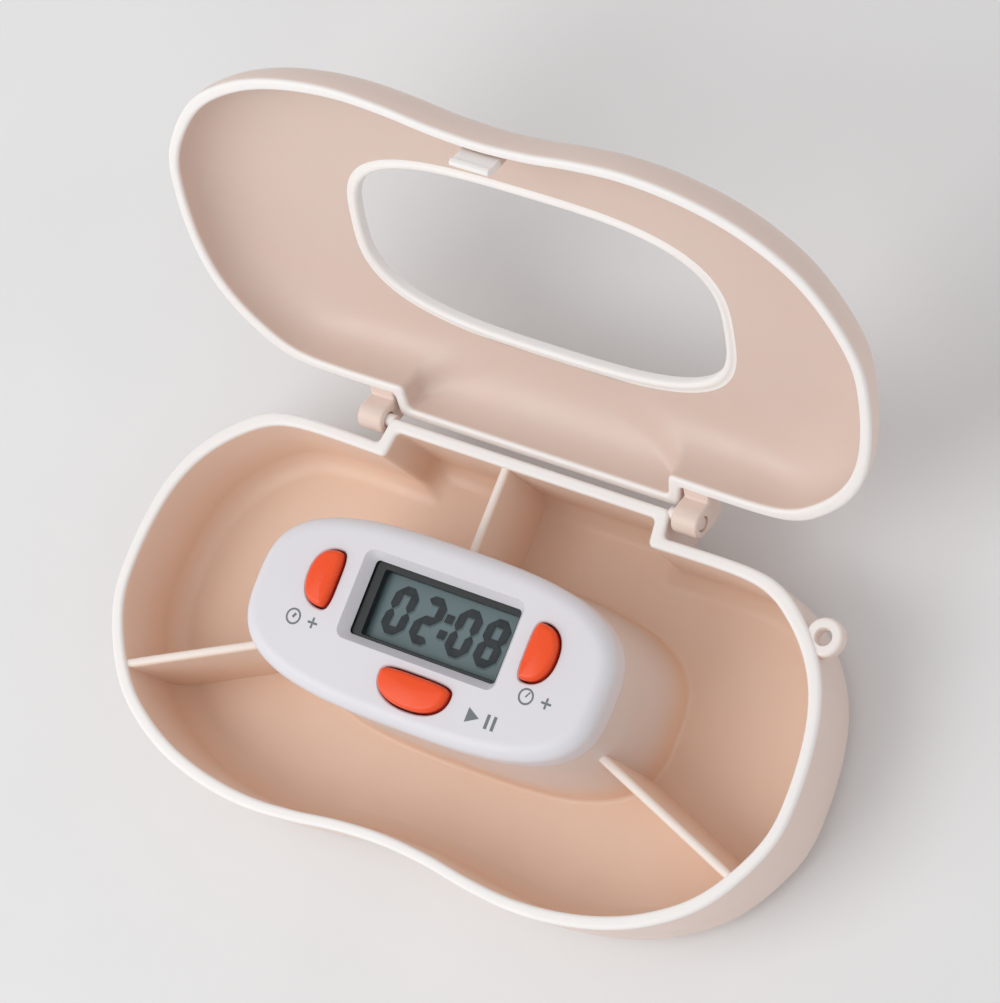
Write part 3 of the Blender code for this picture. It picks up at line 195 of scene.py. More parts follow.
class ShellSizes(bpy.types.PropertyGroup):
    """Sizes of the tray and the lid."""

    length: length("Length", "Length of the shells", 90.0)
    depth: length("Depth", "Depth of the shells without the set-back rear wall", 43.9)
    tray_height: length("Tray height", "Height of the tray's rim", 13.0)
    wall: length("Wall", "Thickness of the tray's wall and floor", 1.4)
    draft: length("Draft", "Draw-in of the tray's wall at the underside", 0.6)
    bottom_round: length("Bottom rounding", "Radius round the tray's underside", 3.6)
    rim_round: length("Rim rounding", "Radius on both edges of a rim", 0.42)
    divider: length("Divider", "Thickness of the compartment walls", 1.1)
    lid_height: length("Lid height", "Height of the lid over its rim", 7.4)
    lid_wall: length("Lid wall", "Thickness of the lid", 1.3)
    lid_turn: angle("Lid angle", "How far the lid stands open", 124.0)
    dome_ends: length("Dome at the ends", "How far the dome draws in at the ends", 15.0)
    dome_sides: length("Dome at the sides", "How far the dome draws in at front and rear", 9.5)
    dome_back: length("Dome set-back", "How far the dome's crown lies behind the middle", 2.5)
    bump_width: length("Set-back width", "Width of the rear wall that is set back between the arms", 38.0)
    bump_reach: length("Set-back", "How far that wall is set back", 3.15)
    bump_round: length("Set-back rounding", "Radius at the corners of the set-back wall", 0.7)
    hinge_back: length("Hinge behind", "How far the hinge axis lies behind the plain rear wall", 2.9)
    hinge_drop: length("Hinge drop", "How far the hinge axis lies under the tray's rim", 1.0)


class TimerSizes(bpy.types.PropertyGroup):
    """Sizes of the timer's cover, keys and display."""

    cover_round: length("Cover rounding", "Radius round the cover's top edge", 1.7)
    post_gap: length("Post inset", "How far the post stands inside the cover", 0.8)
    key_gap: length("Key gap", "Gap round each key", 0.22)
    key_round: length("Key rounding", "Radius of a key's top edge", 0.65)
    key_crown: length("Key crown", "How far the middle of a key stands over its edge", 0.12)
    screen_length: length("Screen length", "Length of the display opening", 18.6)
    screen_width: length("Screen width", "Width of the display opening", 8.0)
    screen_slope: length("Screen slope", "How far the opening widens towards the top", 0.9)
    digit_height: length("Digit height", "Height of a digit on the display", 5.7)
    digit_width: length("Digit width", "Width of a digit between its outer segments", 3.0)
    digit_pitch: length("Digit spacing", "Distance from one digit to the next", 3.75)
    segment: length("Segment", "Width of one segment", 0.98)
    digit_slant: FloatProperty(
        name="Digit slant", description="How far a digit leans, as a share of its height", default=0.12,
        min=0.0, max=1.0, subtype="FACTOR",
    )
    reading: StringProperty(name="Reading", description="Digits on the display", default="0208")


class FinishColours(bpy.types.PropertyGroup):
    """Colours of the moulded parts."""

    tray: colour("Tray", "Outside of the tray", 236, 216, 206)
    # Painted light: the tray's inside is a lighter, warmer copy of its outside, for light reflected round the
    # compartments
    tray_inside: colour("Tray inside", "Inner walls of the tray", 243, 220, 204)
    # Painted shade and warm reflected light, deepening towards the tray's floor and the post's foot
    tray_floor: colour("Tray floor", "Floor of the tray", 239, 209, 188)
    post: colour("Post", "Post that carries the timer", 229, 216, 210)
    lid: colour("Lid", "Lid", 238, 217, 206)
    # Painted shade: the lid's inside is a darker copy of its outside plastic
    lid_inside: colour("Lid inside", "Inner face of the lid", 224, 202, 190)
    # Painted light: the rim colour stands in for light that comes through the plastic's edge
    rim: colour("Rims", "Rims, where the light comes through the edge", 252, 248, 246)
    cover: colour("Cover", "White cover of the timer", 229, 228, 234)
    key: colour("Keys", "Orange keys", 252, 78, 4)
    # Painted shade: the keys darken down their sides, where they sink into the cover
    key_low: colour("Key sides", "Lower sides of the keys", 200, 44, 14)
    frame: colour("Display frame", "Dark frame round the display", 24, 29, 31)
    panel: colour("Display panel", "Grey green back of the display", 92, 112, 116)
    digit: colour("Digits", "Dark segments of the display", 10, 24, 30)
    digit_shade: colour("Digit shade", "Soft shade that the segments throw on the back", 76, 95, 99)
    mark: colour("Key marks", "Printed symbols beside the keys", 112, 119, 121)


class StudioSettings(bpy.types.PropertyGroup):
    """Camera and lights."""

    azimuth: angle("Azimuth", "Camera direction round the object", 80.0)
    elevation: angle("Elevation", "Camera height over the horizon", 60.64)
    roll: angle("Roll", "Turn of the picture about the line of sight", -59.85)
    distance: length("Distance", "Distance from the camera to its target", 493.65)
    target: FloatVectorProperty(
        name="Target", description="Point that the camera looks at",
        default=(-3.15 * MM, 20.27 * MM, 10.0 * MM), subtype="XYZ", unit="LENGTH",
    )
    lens: FloatProperty(name="Lens", description="Focal length in millimetres", default=158.21)
    key_power: FloatProperty(name="Main light", description="Power of the main soft light", default=2.25)
    fill_power: FloatProperty(name="Side light", description="Power of the side light", default=0.14)
    world: FloatProperty(name="Sky", description="Strength of the even light from all round", default=0.6)


# Plane curves
def even_points(points, steps):
    """Return steps + 1 points evenly spaced along an open polyline."""
    lengths = [0.0]
    for start, end in zip(points, points[1:]):
        lengths.append(lengths[-1] + math.dist(start, end))
    result = []
    segment = 0
    for step in range(steps + 1):
        target = lengths[-1] * step / steps
        while segment < len(points) - 2 and lengths[segment + 1] < target:
            segment += 1
        part = (target - lengths[segment]) / (lengths[segment + 1] - lengths[segment])
        result.append(tuple(a + (b - a) * part for a, b in zip(points[segment], points[segment + 1])))
    return result


def mirrored(half):
    """Close a half curve, drawn from rear centre to front centre, across X = 0."""
    return half + [(-x, y) for x, y in reversed(half[1:-1])]


def spline_point(points, part):
    """Return a point on a centripetal Catmull-Rom piece between points 1 and 2."""
    knots = [0.0]
    for start, end in zip(points, points[1:]):
        knots.append(knots[-1] + math.sqrt(math.dist(start, end)))
    place = knots[1] + (knots[2] - knots[1]) * part
    row = [Vector(point) for point in points]
    for spans in (((0, 1), (1, 2), (2, 3)), ((0, 2), (1, 3)), ((1, 2),)):
        row = [
            row[i].lerp(row[i + 1], (place - knots[first]) / (knots[last] - knots[first]))
            for i, (first, last) in enumerate(spans)
        ]
    return tuple(row[0])


@lru_cache(maxsize=None)
def plain_outline(half_length, half_depth):
    """Return the plain outline of the shells from rear centre to front centre."""
    half = [(x * half_length, y * half_depth) for x, y in OUTLINE_SHARES]
    chain = [(-half[1][0], half[1][1])] + half + [(-half[-2][0], half[-2][1])]
    curve = []
    for index in range(len(half) - 1):
        curve += [spline_point(chain[index:index + 4], step / CURVE_STEPS) for step in range(CURVE_STEPS)]
    return curve + [half[-1]]


def rounded_corner(before, corner, after, radius):
    """Return the points of the arc that rounds a corner."""
    middle = Vector(corner)
    start, end = (Vector(before) - middle).normalized(), (Vector(after) - middle).normalized()
    turn = math.pi - start.angle(end)
    if turn < STRAIGHT_ANGLE:
        return [corner] * (CORNER_POINTS + 1)
    reach = radius * math.tan(turn / 2)
    first, last = middle + start * reach, middle + end * reach
    centre = middle + (start + end).normalized() * (radius / math.cos(turn / 2))
    begin = math.atan2(first.y - centre.y, first.x - centre.x)
    sweep = math.atan2(last.y - centre.y, last.x - centre.x) - begin
    sweep = (sweep + math.pi) % (2 * math.pi) - math.pi
    turns = [begin + sweep * step / CORNER_POINTS for step in range(CORNER_POINTS + 1)]
    return [(centre.x + radius * math.cos(at), centre.y + radius * math.sin(at)) for at in turns]


def shell_half(sizes, inset_ends, inset_sides, bump=None, slant=LEAST_SLANT):
    """Return half the shell outline, drawn in, with the rear wall set back between the arms."""
    bump = sizes.bump_reach if bump is None else bump
    half_length, half_depth = sizes.length / 2, sizes.depth / 2
    x_scale, y_scale = 1 - inset_ends / half_length, 1 - inset_sides / half_depth
    plain = [(x * x_scale, y * y_scale) for x, y in plain_outline(half_length, half_depth)]
    rear = plain[0][1]
    side = sizes.bump_width / 2 - inset_sides
    crest, foot = (side - slant, rear + bump), (side, rear)
    turn = math.atan2(max(bump, LEAST_BUMP), slant)
    most = ROUND_SHARE * math.hypot(bump, slant) / math.tan(turn / 2)
    radius = min(sizes.bump_round + 2 * (slant - LEAST_SLANT), most)
    upper = rounded_corner((0.0, rear + bump), crest, foot, radius)
    lower = rounded_corner(crest, foot, (side + OVERRUN, rear), radius)
    top = even_points([(0.0, rear + bump), upper[0]], CREST_STEPS)[:-1]
    between_arcs = even_points([upper[-1], lower[0]], SLANT_STEPS)[1:-1]
    start = lower[-1][0] + LEAST_STEP
    rest = [lower[-1]] + [point for point in plain if point[0] > start or point[1] < 0]
    return top + upper + between_arcs + lower + even_points(rest, SIDE_STEPS + 1)[1:]


def oval_half(half_length, half_width, steps=HALF_STEPS):
    """Return half of the timer's squared oval from rear centre to front centre."""
    power = 2 / OVAL_POWER
    count = steps * FINER
    curve = []
    for step in range(count):
        turn = math.pi * step / count
        y = math.copysign(half_width * abs(math.cos(turn)) ** power, math.cos(turn))
        curve.append((half_length * math.sin(turn) ** power, TIMER_Y + y))
    curve.append((0.0, TIMER_Y - half_width))
    return even_points(curve, steps)


def circle(radius, segments=SMALL_STEPS, x=0.0, y=0.0):
    """Return a circle's points."""
    turns = [2 * math.pi * i / segments for i in range(segments)]
    return [(x + radius * math.cos(turn), y + radius * math.sin(turn)) for turn in turns]


def rectangle(low_x, low_y, high_x, high_y):
    """Return a rectangle's corners, counter-clockwise."""
    return [(low_x, low_y), (high_x, low_y), (high_x, high_y), (low_x, high_y)]


def rounded_rectangle(across, along, radius, x=0.0, y=SCREEN_Y):
    """Return a rectangle with rounded corners, counter-clockwise."""
    points = []
    for quarter, (sx, sy) in enumerate(CORNERS):
        for step in range(CORNER_POINTS + 2):
            turn = (quarter + step / (CORNER_POINTS + 1)) * math.pi / 2
            points.append((
                x + sx * (across / 2 - radius) + radius * math.cos(turn),
                y + sy * (along / 2 - radius) + radius * math.sin(turn),
            ))
    return points


def key_curve(depth, width, segments=96):
    """Return a D outline that bulges to +X, with its flat side to -X."""
    bulge, flat = depth * BULGE_SHARE, depth * (1 - BULGE_SHARE)
    count = segments * FINER
    curve = []
    for step in range(count + 1):
        turn = 2 * math.pi * step / count
        side = math.cos(turn)
        reach, power = (bulge, 2 / BULGE_POWER) if side > 0 else (flat, 2 / FLAT_POWER)
        x = math.copysign(reach * abs(side) ** power, side)
        y = math.copysign(width / 2 * abs(math.sin(turn)) ** power, math.sin(turn))
        curve.append((x + flat - depth / 2, y))
    return even_points(curve, segments)[:-1]


def offset(points, distance):
    """Move a counter-clockwise outline outwards by a distance."""
    result = []
    count = len(points)
    for i in range(count):
        point = Vector(points[i])
        before, after = point - Vector(points[i - 1]), Vector(points[(i + 1) % count]) - point
        first, second = (Vector((side.y, -side.x)).normalized() for side in (before, after))
        middle = (first + second).normalized()
        result.append(tuple(point + middle * (distance / middle.dot(first))))
    return result


def mm(*rows):
    """Return rows of millimetres in metres."""
    return [tuple(value * MM for value in row) for row in rows]


def turned(points, turn):
    """Turn an outline about the origin."""
    c, s = math.cos(turn), math.sin(turn)
    return [(x * c - y * s, x * s + y * c) for x, y in points]


def shifted(points, x, y):
    """Move an outline."""
    return [(px + x, py + y) for px, py in points]


def at_share(half, part):
    """Return the point at a share of the way along a half curve, by its length."""
    return Vector(even_points(half, SAMPLES)[round(part * SAMPLES)])


def bend(radius, steps=EDGE_STEPS):
    """Return a quarter round's steps: how far each is from the start one way, and from the end the other."""
    turns = [math.pi / 2 * step / steps for step in range(steps + 1)]
    return [(radius * (1 - math.cos(turn)), radius * (1 - math.sin(turn))) for turn in turns]


# Solids
def level(points, z):
    """Lift an outline to a height."""
    return [Vector((x, y, z)) for x, y in points]


def shell_ring(sizes, inset, z):
    """Return the shells' outline, drawn in, at a height."""
    return level(mirrored(shell_half(sizes, inset, inset)), z)


def cover_size(grow):
    """Return half the length and half the width of the timer's oval, grown on all sides."""
    return COVER_HIGH.x + grow, (COVER_HIGH.y - COVER_LOW.y) / 2 + grow


def oval_ring(size, grow, z, steps=HALF_STEPS + 1):
    """Return the timer's oval, grown on all sides, at a height."""
    return level(mirrored(oval_half(size[0] + grow, size[1] + grow, steps)), z)


def placed(name, data):
    """Add an object to the scene."""
    result = bpy.data.objects.new(name, data)
    bpy.context.scene.collection.objects.link(result)
    return result


def discard(target):
    """Take an object and its mesh away."""
    mesh = target.data
    bpy.data.objects.remove(target)
    bpy.data.meshes.remove(mesh)


def edited(target, change):
    """Run a change on the faces of an object's mesh."""
    data = bmesh.new()
    data.from_mesh(target.data)
    change(data)
    data.to_mesh(target.data)
    data.free()
    return target


def loft(name, rings, closed=False, surfaces=None, caps=(0, 0)):
    """Skin a row of rings into a closed piece, with one material number for each strip."""

    def skin(data):
        rows = [[data.verts.new(point) for point in ring] for ring in rings]
        pairs = list(zip(rows, rows[1:]))
        if closed:
            pairs.append((rows[-1], rows[0]))
        for index, (first, second) in enumerate(pairs):
            for i in range(len(first)):
                j = (i + 1) % len(first)
                face = data.faces.new((first[i], first[j], second[j], second[i]))
                face.material_index = surfaces[index] if surfaces else caps[0]
        if not closed:
            for row, number in zip((rows[0], rows[-1]), caps):
                data.faces.new(row).material_index = number
        bmesh.ops.recalc_face_normals(data, faces=data.faces)

    return edited(placed(name, bpy.data.meshes.new(name)), skin)


def prism(name, points, bottom, top, surface=OUTSIDE):
    """Raise an outline from one height to another."""
    return loft(name, [level(points, bottom), level(points, top)], caps=(surface, surface))


def beam(name, points, start, end, surface=OUTSIDE):
    """Draw an outline in Y and Z out along X."""
    rings = [[Vector((x, y, z)) for y, z in points] for x in (start, end)]
    return loft(name, rings, caps=(surface, surface))


def tapered(name, rows, outline):
    """Stack outlines, each made from the first value of its row, at the heights that the rows give."""
    return loft(name, [level(outline(grow), z) for grow, z in rows])


def revolve(name, profile, x=0.0, y=0.0, segments=SMALL_STEPS):
    """Turn a profile of radii and heights about a vertical line."""
    return tapered(name, profile, lambda radius: circle(radius, segments, x, y))


def apply_modifiers(target):
    """Turn an object's evaluated shape into its plain mesh."""
    bpy.context.view_layer.update()
    graph = bpy.context.evaluated_depsgraph_get()
    mesh = bpy.data.meshes.new_from_object(target.evaluated_get(graph))
    target.modifiers.clear()
    previous = target.data
    target.data = mesh
    mesh.name = target.name
    bpy.data.meshes.remove(previous)
    return target


def modify(target, name, kind, **settings):
    """Add a modifier with its settings."""
    modifier = target.modifiers.new(name, kind)
    for key, value in settings.items():
        setattr(modifier, key, value)
    return modifier


def bevelled(target, width, segments=4):
    """Round the sharp edges of a small solid."""
    settings = {"width": width, "segments": segments, "limit_method": "ANGLE", "angle_limit": BEVEL_ANGLE}
    modify(target, "round", "BEVEL", **settings)
    return apply_modifiers(target)


def coated(target, *materials):
    """Give a piece its row of materials before anything is joined to it."""
    for material in materials:
        target.data.materials.append(material)
    return target


def combine(target, tools, operation):
    """Join a row of tools to a target, or cut them out of it."""
    for tool in tools:
        coated(tool, *target.data.materials)
        modify(target, operation, "BOOLEAN", operation=operation, solver="EXACT", object=tool)
    apply_modifiers(target)
    for tool in tools:
        discard(tool)
    return target


def tidied(target):
    """Merge stray vertices, shade smooth with crisp edges and let the large faces set the shading."""
    edited(target, lambda data: bmesh.ops.remove_doubles(data, verts=data.verts, dist=0.0005 * MM))
    target.data.shade_smooth()
    target.data.set_sharp_from_angle(angle=SHARP_ANGLE)
    modify(target, "even shading", "WEIGHTED_NORMAL", keep_sharp=True)
    return apply_modifiers(target)


def finished(target, body, slot, *nodes):
    """Attach a finished piece to its body and hide the imported parts that it replaces."""
    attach(target, body)
    if nodes:
        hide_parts(*nodes)


# Finishes
def fed(tree, target, inputs):
    """Link or set a node's inputs."""
    for key, value in inputs.items():
        if isinstance(value, bpy.types.NodeSocket):
            tree.links.new(value, target.inputs[key])
        else:
            target.inputs[key].default_value = value
    return target


def node(tree, kind, inputs=None, **settings):
    """Add a node with its settings and inputs."""
    result = tree.nodes.new(kind)
    for name, value in settings.items():
        setattr(result, name, value)
    return fed(tree, result, inputs or {})


def calculated(tree, operation, *values):
    """Return the result of a sum on numbers or the outputs of nodes."""
    return node(tree, "ShaderNodeMath", dict(enumerate(values)), operation=operation).outputs[0]


def noise(tree, vector, scale, detail=4.0, roughness=0.6):
    """Return noise on the given coordinates."""
    inputs = {"Vector": vector, "Scale": scale, "Detail": detail, "Roughness": roughness}
    return node(tree, "ShaderNodeTexNoise", inputs).outputs["Fac"]


def spread(tree, value, low, high, start=0.3, end=0.7):
    """Return a value carried from one range to another."""
    inputs = {"Value": value, "From Min": start, "From Max": end, "To Min": low, "To Max": high}
    return node(tree, "ShaderNodeMapRange", inputs, interpolation_type="SMOOTHSTEP").outputs["Result"]


def mixed(tree, amount, *tints):
    """Return two colours, or the outputs of two nodes, mixed by an amount."""
    first, second = (tint if isinstance(tint, bpy.types.NodeSocket) else (*tint[:3], 1.0) for tint in tints)
    return node(tree, "ShaderNodeMix", {"Factor": amount, 6: first, 7: second}, data_type="RGBA").outputs[2]


def mottled(tree, amount, base, spot):
    """Return a colour that wanders between a little darker and a little lighter."""
    shades = (tuple(min(1.0, part * factor) for part in base) for factor in (spot, 2 - spot))
    return mixed(tree, amount, *shades)


def new_material(name):
    """Return a material, its tree, its shader and the piece's own coordinates."""
    material = bpy.data.materials.new(name)
    material.use_nodes = True
    tree = material.node_tree
    place = tree.nodes.new("ShaderNodeTexCoord").outputs["Object"]
    return material, tree, tree.nodes["Principled BSDF"], place


def grained(tree, vector, scale, strength, depth):
    """Return the normal of a moulded or worn surface's fine unevenness."""
    inputs = {"Strength": strength, "Distance": depth, "Height": noise(tree, vector, scale)}
    return node(tree, "ShaderNodeBump", inputs).outputs["Normal"]


def moulded(name, base, gloss, glow, painted_light_bands=(), lid_place=None):
    """Return a moulded plastic: mottled colour, satin gloss, fine skin, and painted light and shade as a tint
    per band of heights.
    """
    material, tree, shader, place = new_material(name)
    broad = mottled(tree, noise(tree, place, 70.0, 2.0, 0.5), base, 0.965)
    skin = mixed(tree, 0.4, broad, mottled(tree, noise(tree, place, 900.0), base, 0.985))
    source = place
    if lid_place is not None:
        inputs = {"Vector": place, "Location": lid_place[0], "Rotation": lid_place[1]}
        source = node(tree, "ShaderNodeMapping", inputs, vector_type="TEXTURE").outputs["Vector"]
    for tint, start, end in painted_light_bands:
        height = node(tree, "ShaderNodeSeparateXYZ", {"Vector": source}).outputs["Z"]
        skin = mixed(tree, spread(tree, height, 0.0, 1.0, start, end), skin, tint)
    fed(tree, shader, {
        "Base Color": skin,
        "Roughness": spread(tree, noise(tree, place, 260.0, 3.0, 0.5), gloss - 0.05, gloss + 0.07),
        "IOR": 1.49, "Subsurface Weight": glow, "Subsurface Radius": (1.0, 0.55, 0.4),
        "Subsurface Scale": 1.2 * MM, "Normal": grained(tree, place, 1500.0, 0.12, 0.03 * MM),
    })
    return material


def glossy(name, base, roughness, metallic=0.0, scale=800.0, spot=0.9, coat=0.0, streak=None):
    """Return a harder finish: metal, resin, lacquered board, rubber or glass on a coloured back."""
    material, tree, shader, source = new_material(name)
    if streak is not None:
        source = node(tree, "ShaderNodeMapping", {"Vector": source, "Scale": streak}).outputs["Vector"]
    grain = noise(tree, source, scale)
    fed(tree, shader, {
        "Base Color": mottled(tree, grain, base, spot),
        "Roughness": spread(tree, grain, roughness * 0.8, roughness * 1.25),
        "Metallic": metallic, "Coat Weight": coat, "Coat Roughness": 0.06,
        "Normal": grained(tree, source, scale, 0.1, 0.01 * MM),
    })
    return material


# Tray
def hinge_place(sizes):
    """Return the hinge axis in Y and Z."""
    return sizes.depth / 2 + sizes.hinge_back, sizes.tray_height - sizes.hinge_drop


def wall_inset(sizes, z):
    """Return how far the drafted outer wall lies inside the rim at a height."""
    return sizes.draft * (1 - z / sizes.tray_height)


def tray_rings(sizes, timer):
    """Return the tray's rings, and a material number for each strip, from underside to timer pocket."""
    radius, wall, height = sizes.bottom_round, sizes.wall, sizes.tray_height
    lip = bend(sizes.rim_round)
    shell = [(wall_inset(sizes, z) + draw, z) for z, draw in bend(radius, ROUND_STEPS)]
    shell += [(inset, height - drop) for inset, drop in lip]
    outer = len(shell) - 1
    shell += [(wall - draw, height - drop) for draw, drop in reversed(lip)]
    for rise, draw in reversed(bend(radius - wall, ROUND_STEPS)):
        shell.append((wall_inset(sizes, wall + rise) + wall + draw, wall + rise))
    floor = len(shell) + EDGE_STEPS
    top, foot, fillet, edge, thick = COVER_LOW_Z - 0.3 * MM, 1.4 * MM, 0.6 * MM, 0.25 * MM, 1.3 * MM
    post = [(foot + grow, wall + rise) for rise, grow in bend(fillet)]
    post += [(-shrink, top - drop) for shrink, drop in bend(edge)] + [(-thick, top), (-thick, wall)]
    rings = [shell_ring(sizes, inset, z) for inset, z in shell]
    rings += [oval_ring(cover_size(-timer.post_gap), grow, z) for grow, z in post]
    surfaces = [OUTSIDE] * outer + [INSIDE] * (floor - outer)
    return rings, surfaces + [POST] * (len(rings) - 1 - floor)


def divider(sizes, name, wall_point, inner):
    """Return an upright web with a rounded top, from the post's wall to the tray's wall."""
    half_wall, half_web = sizes.wall / 2, sizes.divider / 2
    away = (wall_point(half_wall) - inner).normalized()
    side = away.orthogonal() * half_web
    rows = []
    for rise, draw in bend(sizes.bottom_round - half_wall, ROUND_STEPS):
        rows.append((half_wall + rise, wall_inset(sizes, half_wall + rise) + half_wall + draw, 1.0))
    top, edge = sizes.tray_height - DIVIDER_DROP, bend(sizes.divider * DIVIDER_BEND)
    rows += [(top - drop, half_wall, 1 - thin / half_web) for thin, drop in edge]
    rings = []
    for z, inset, share in rows:
        outer = inner + away * (wall_point(inset) - inner).dot(away)
        aside = side * share
        rings.append(level((outer + aside, outer - aside, inner - aside, inner + aside), z))
    return loft(name, rings, caps=(INSIDE, INSIDE))


def tray_dividers(sizes, timer):
    """Return the three webs that part the tray."""
    post = oval_half(*(half - SKIRT_WALL for half in cover_size(-timer.post_gap)))
    inner = at_share(post, POST_SHARE)

    def side_wall(side, part):
        return lambda inset: at_share(plain_from_wall(sizes, inset), part) * Vector((side, 1))

    def rear_wall(inset):
        return Vector((REAR_DIVIDER_X, shell_half(sizes, inset, inset)[0][1]))

    return [
        divider(sizes, "divider_right", side_wall(1, RIGHT_SHARE), inner),
        divider(sizes, "divider_left", side_wall(-1, LEFT_SHARE), inner * Vector((-1, 1))),
        divider(sizes, "divider_rear", rear_wall, Vector((REAR_DIVIDER_X, post[0][1]))),
    ]


def plain_from_wall(sizes, inset):
    """Return half the wall's curve from the foot of the set-back wall to the front centre."""
    half = shell_half(sizes, inset, inset)
    foot = (sizes.bump_width / 2 - inset, half[0][1] - sizes.bump_reach)
    return [foot] + half[-SIDE_STEPS:]


def eyelet_centre(sizes):
    """Return the eyelet's centre beside the rear right corner."""
    curve = plain_from_wall(sizes, 0.0)
    along = at_share(curve, EYELET_SHARE + EYELET_SPAN) - at_share(curve, EYELET_SHARE - EYELET_SPAN)
    return at_share(curve, EYELET_SHARE) + Vector((-along.y, along.x)).normalized() * EYELET_REACH


class TrayOperator(bpy.types.Operator):
    """Build the tray with its compartments, timer post, hinge studs, eyelet and underside"""

    bl_idname = "pill_box.tray"
    bl_label = "Tray"

    def execute(self, context):
        sizes, timer = context.scene.pill_box_shell, context.scene.pill_box_timer
        colours = context.scene.pill_box_finish
        height, wall, half_bump = sizes.tray_height, sizes.wall, sizes.bump_width / 2
        rings, surfaces = tray_rings(sizes, timer)
        # Painted light: the tray's rims turn whiter towards the top edge
        rim = (colours.rim, *(height - drop for drop in RIM_FADE))
        # Painted shade: the tray's inside deepens towards its floor
        inside_painted_light_bands = [(colours.tray_floor, *FLOOR_FADE), rim]
        tray = coated(
            loft("tray_shell", rings, surfaces=surfaces, caps=(OUTSIDE, POST)),
            moulded("tray plastic outside", colours.tray, 0.36, 0.16, [rim]),
            # Lighter, warmer copy of the tray plastic: painted reflected light
            moulded("tray inside painted light", colours.tray_inside, 0.38, 0.2, inside_painted_light_bands),
            # Painted shade: the post takes the floor's shade colour towards its foot
            moulded("post plastic", colours.post, 0.38, 0.2, [(colours.tray_floor, *POST_FADE)]),
        )
        stud = shifted(circle(STUD_RADIUS, 32), *hinge_place(sizes))
        start, end = half_bump - wall / 2, half_bump + STUD_REACH
        parts = tray_dividers(sizes, timer)
        parts += [bevelled(beam("stud", stud, side * start, side * end), STUD_EDGE) for side in SIDES]
        centre, top = eyelet_centre(sizes), height - EYELET_DROP
        eyelet = prism("eyelet", circle(EYELET_RADIUS, 64, *centre), top - EYELET_THICK, top)
        parts.append(bevelled(eyelet, EYELET_EDGE, 5))
        for side in SIDES:
            outline = circle(BOSS_RADIUS, SMALL_STEPS, side * LONG_SCREW_X, TIMER_Y)
            parts.append(prism("boss", outline, BOSS_FOOT, BOSS_TOP, INSIDE))
        combine(tray, parts, "UNION")
        cutters = [revolve("eyelet_hole", shifted(mm(*EYELET_HOLE), 0.0, top), *centre)]
        cutters += [revolve("sink", mm(*SCREW_SINK), side * LONG_SCREW_X, TIMER_Y) for side in SIDES]
        notch = shifted(rectangle(-NOTCH_HALF, -NOTCH_REACH, NOTCH_HALF, NOTCH_REACH), HATCH_X, TIMER_Y)
        for outline in (circle(HATCH_RADIUS, 96, HATCH_X, TIMER_Y), notch):
            cutters.append(prism("hatch", outline, -OVERRUN, wall + OVERRUN))
        face = shell_half(sizes, wall, wall)[-1][1]
        groove = rectangle(face - CATCH_DEEP, CATCH_LOW, face + OVERRUN, CATCH_HIGH)
        cutters.append(beam("catch", groove, -CATCH_HALF, CATCH_HALF, INSIDE))
        combine(tray, cutters, "DIFFERENCE")
        finished(tidied(tray), "base", "tray_ivory", "base_tray")
        return {"FINISHED"}


# Lid
def dome_rings(sizes, wall):
    """Return rings up the rounded side of the lid, drawn in by a wall thickness."""
    rings = []
    rim, height, power = sizes.tray_height + RIM_GAP, sizes.lid_height - wall, 2 / DOME_POWER
    for step in range(1, DOME_STEPS + 1):
        turn = math.pi / 2 * step / DOME_STEPS
        side = max(0.0, math.cos(turn)) ** power
        draw_in = 1 - side
        ends, sides = (wall + (reach - wall) * draw_in for reach in (sizes.dome_ends, sizes.dome_sides))
        slant = min(LEAST_SLANT + SLANT_GROWTH * max(0.0, draw_in - SLANT_START), MOST_SLANT)
        curve = mirrored(shell_half(sizes, ends, sides, sizes.bump_reach * side, slant))
        curve = shifted(curve, 0.0, sizes.dome_back * draw_in)
        rings.append(level(curve, rim + height * math.sin(turn) ** power))
    return rings


def clear_of_window(rings, size, grow):
    """Keep the crown of the dome in front of the window's front edge."""
    soft, first, step = 0.3 * MM, 0.15 * MM, 0.12 * MM
    for index, ring in enumerate(reversed(rings[-6:])):
        for point in ring:
            part = abs(point.x) / (size[0] + grow)
            if part < 1 and point.y < TIMER_Y:
                reach = (size[1] + grow) * (1 - part ** OVAL_POWER) ** (1 / OVAL_POWER)
                edge = TIMER_Y - reach - first - step * index
                point.y = edge - soft * math.log1p(math.exp((edge - point.y) / soft))


def between(first, second, steps=4):
    """Return the rings between two rings."""
    parts = [step / steps for step in range(1, steps)]
    return [[start.lerp(end, part) for start, end in zip(first, second)] for part in parts]


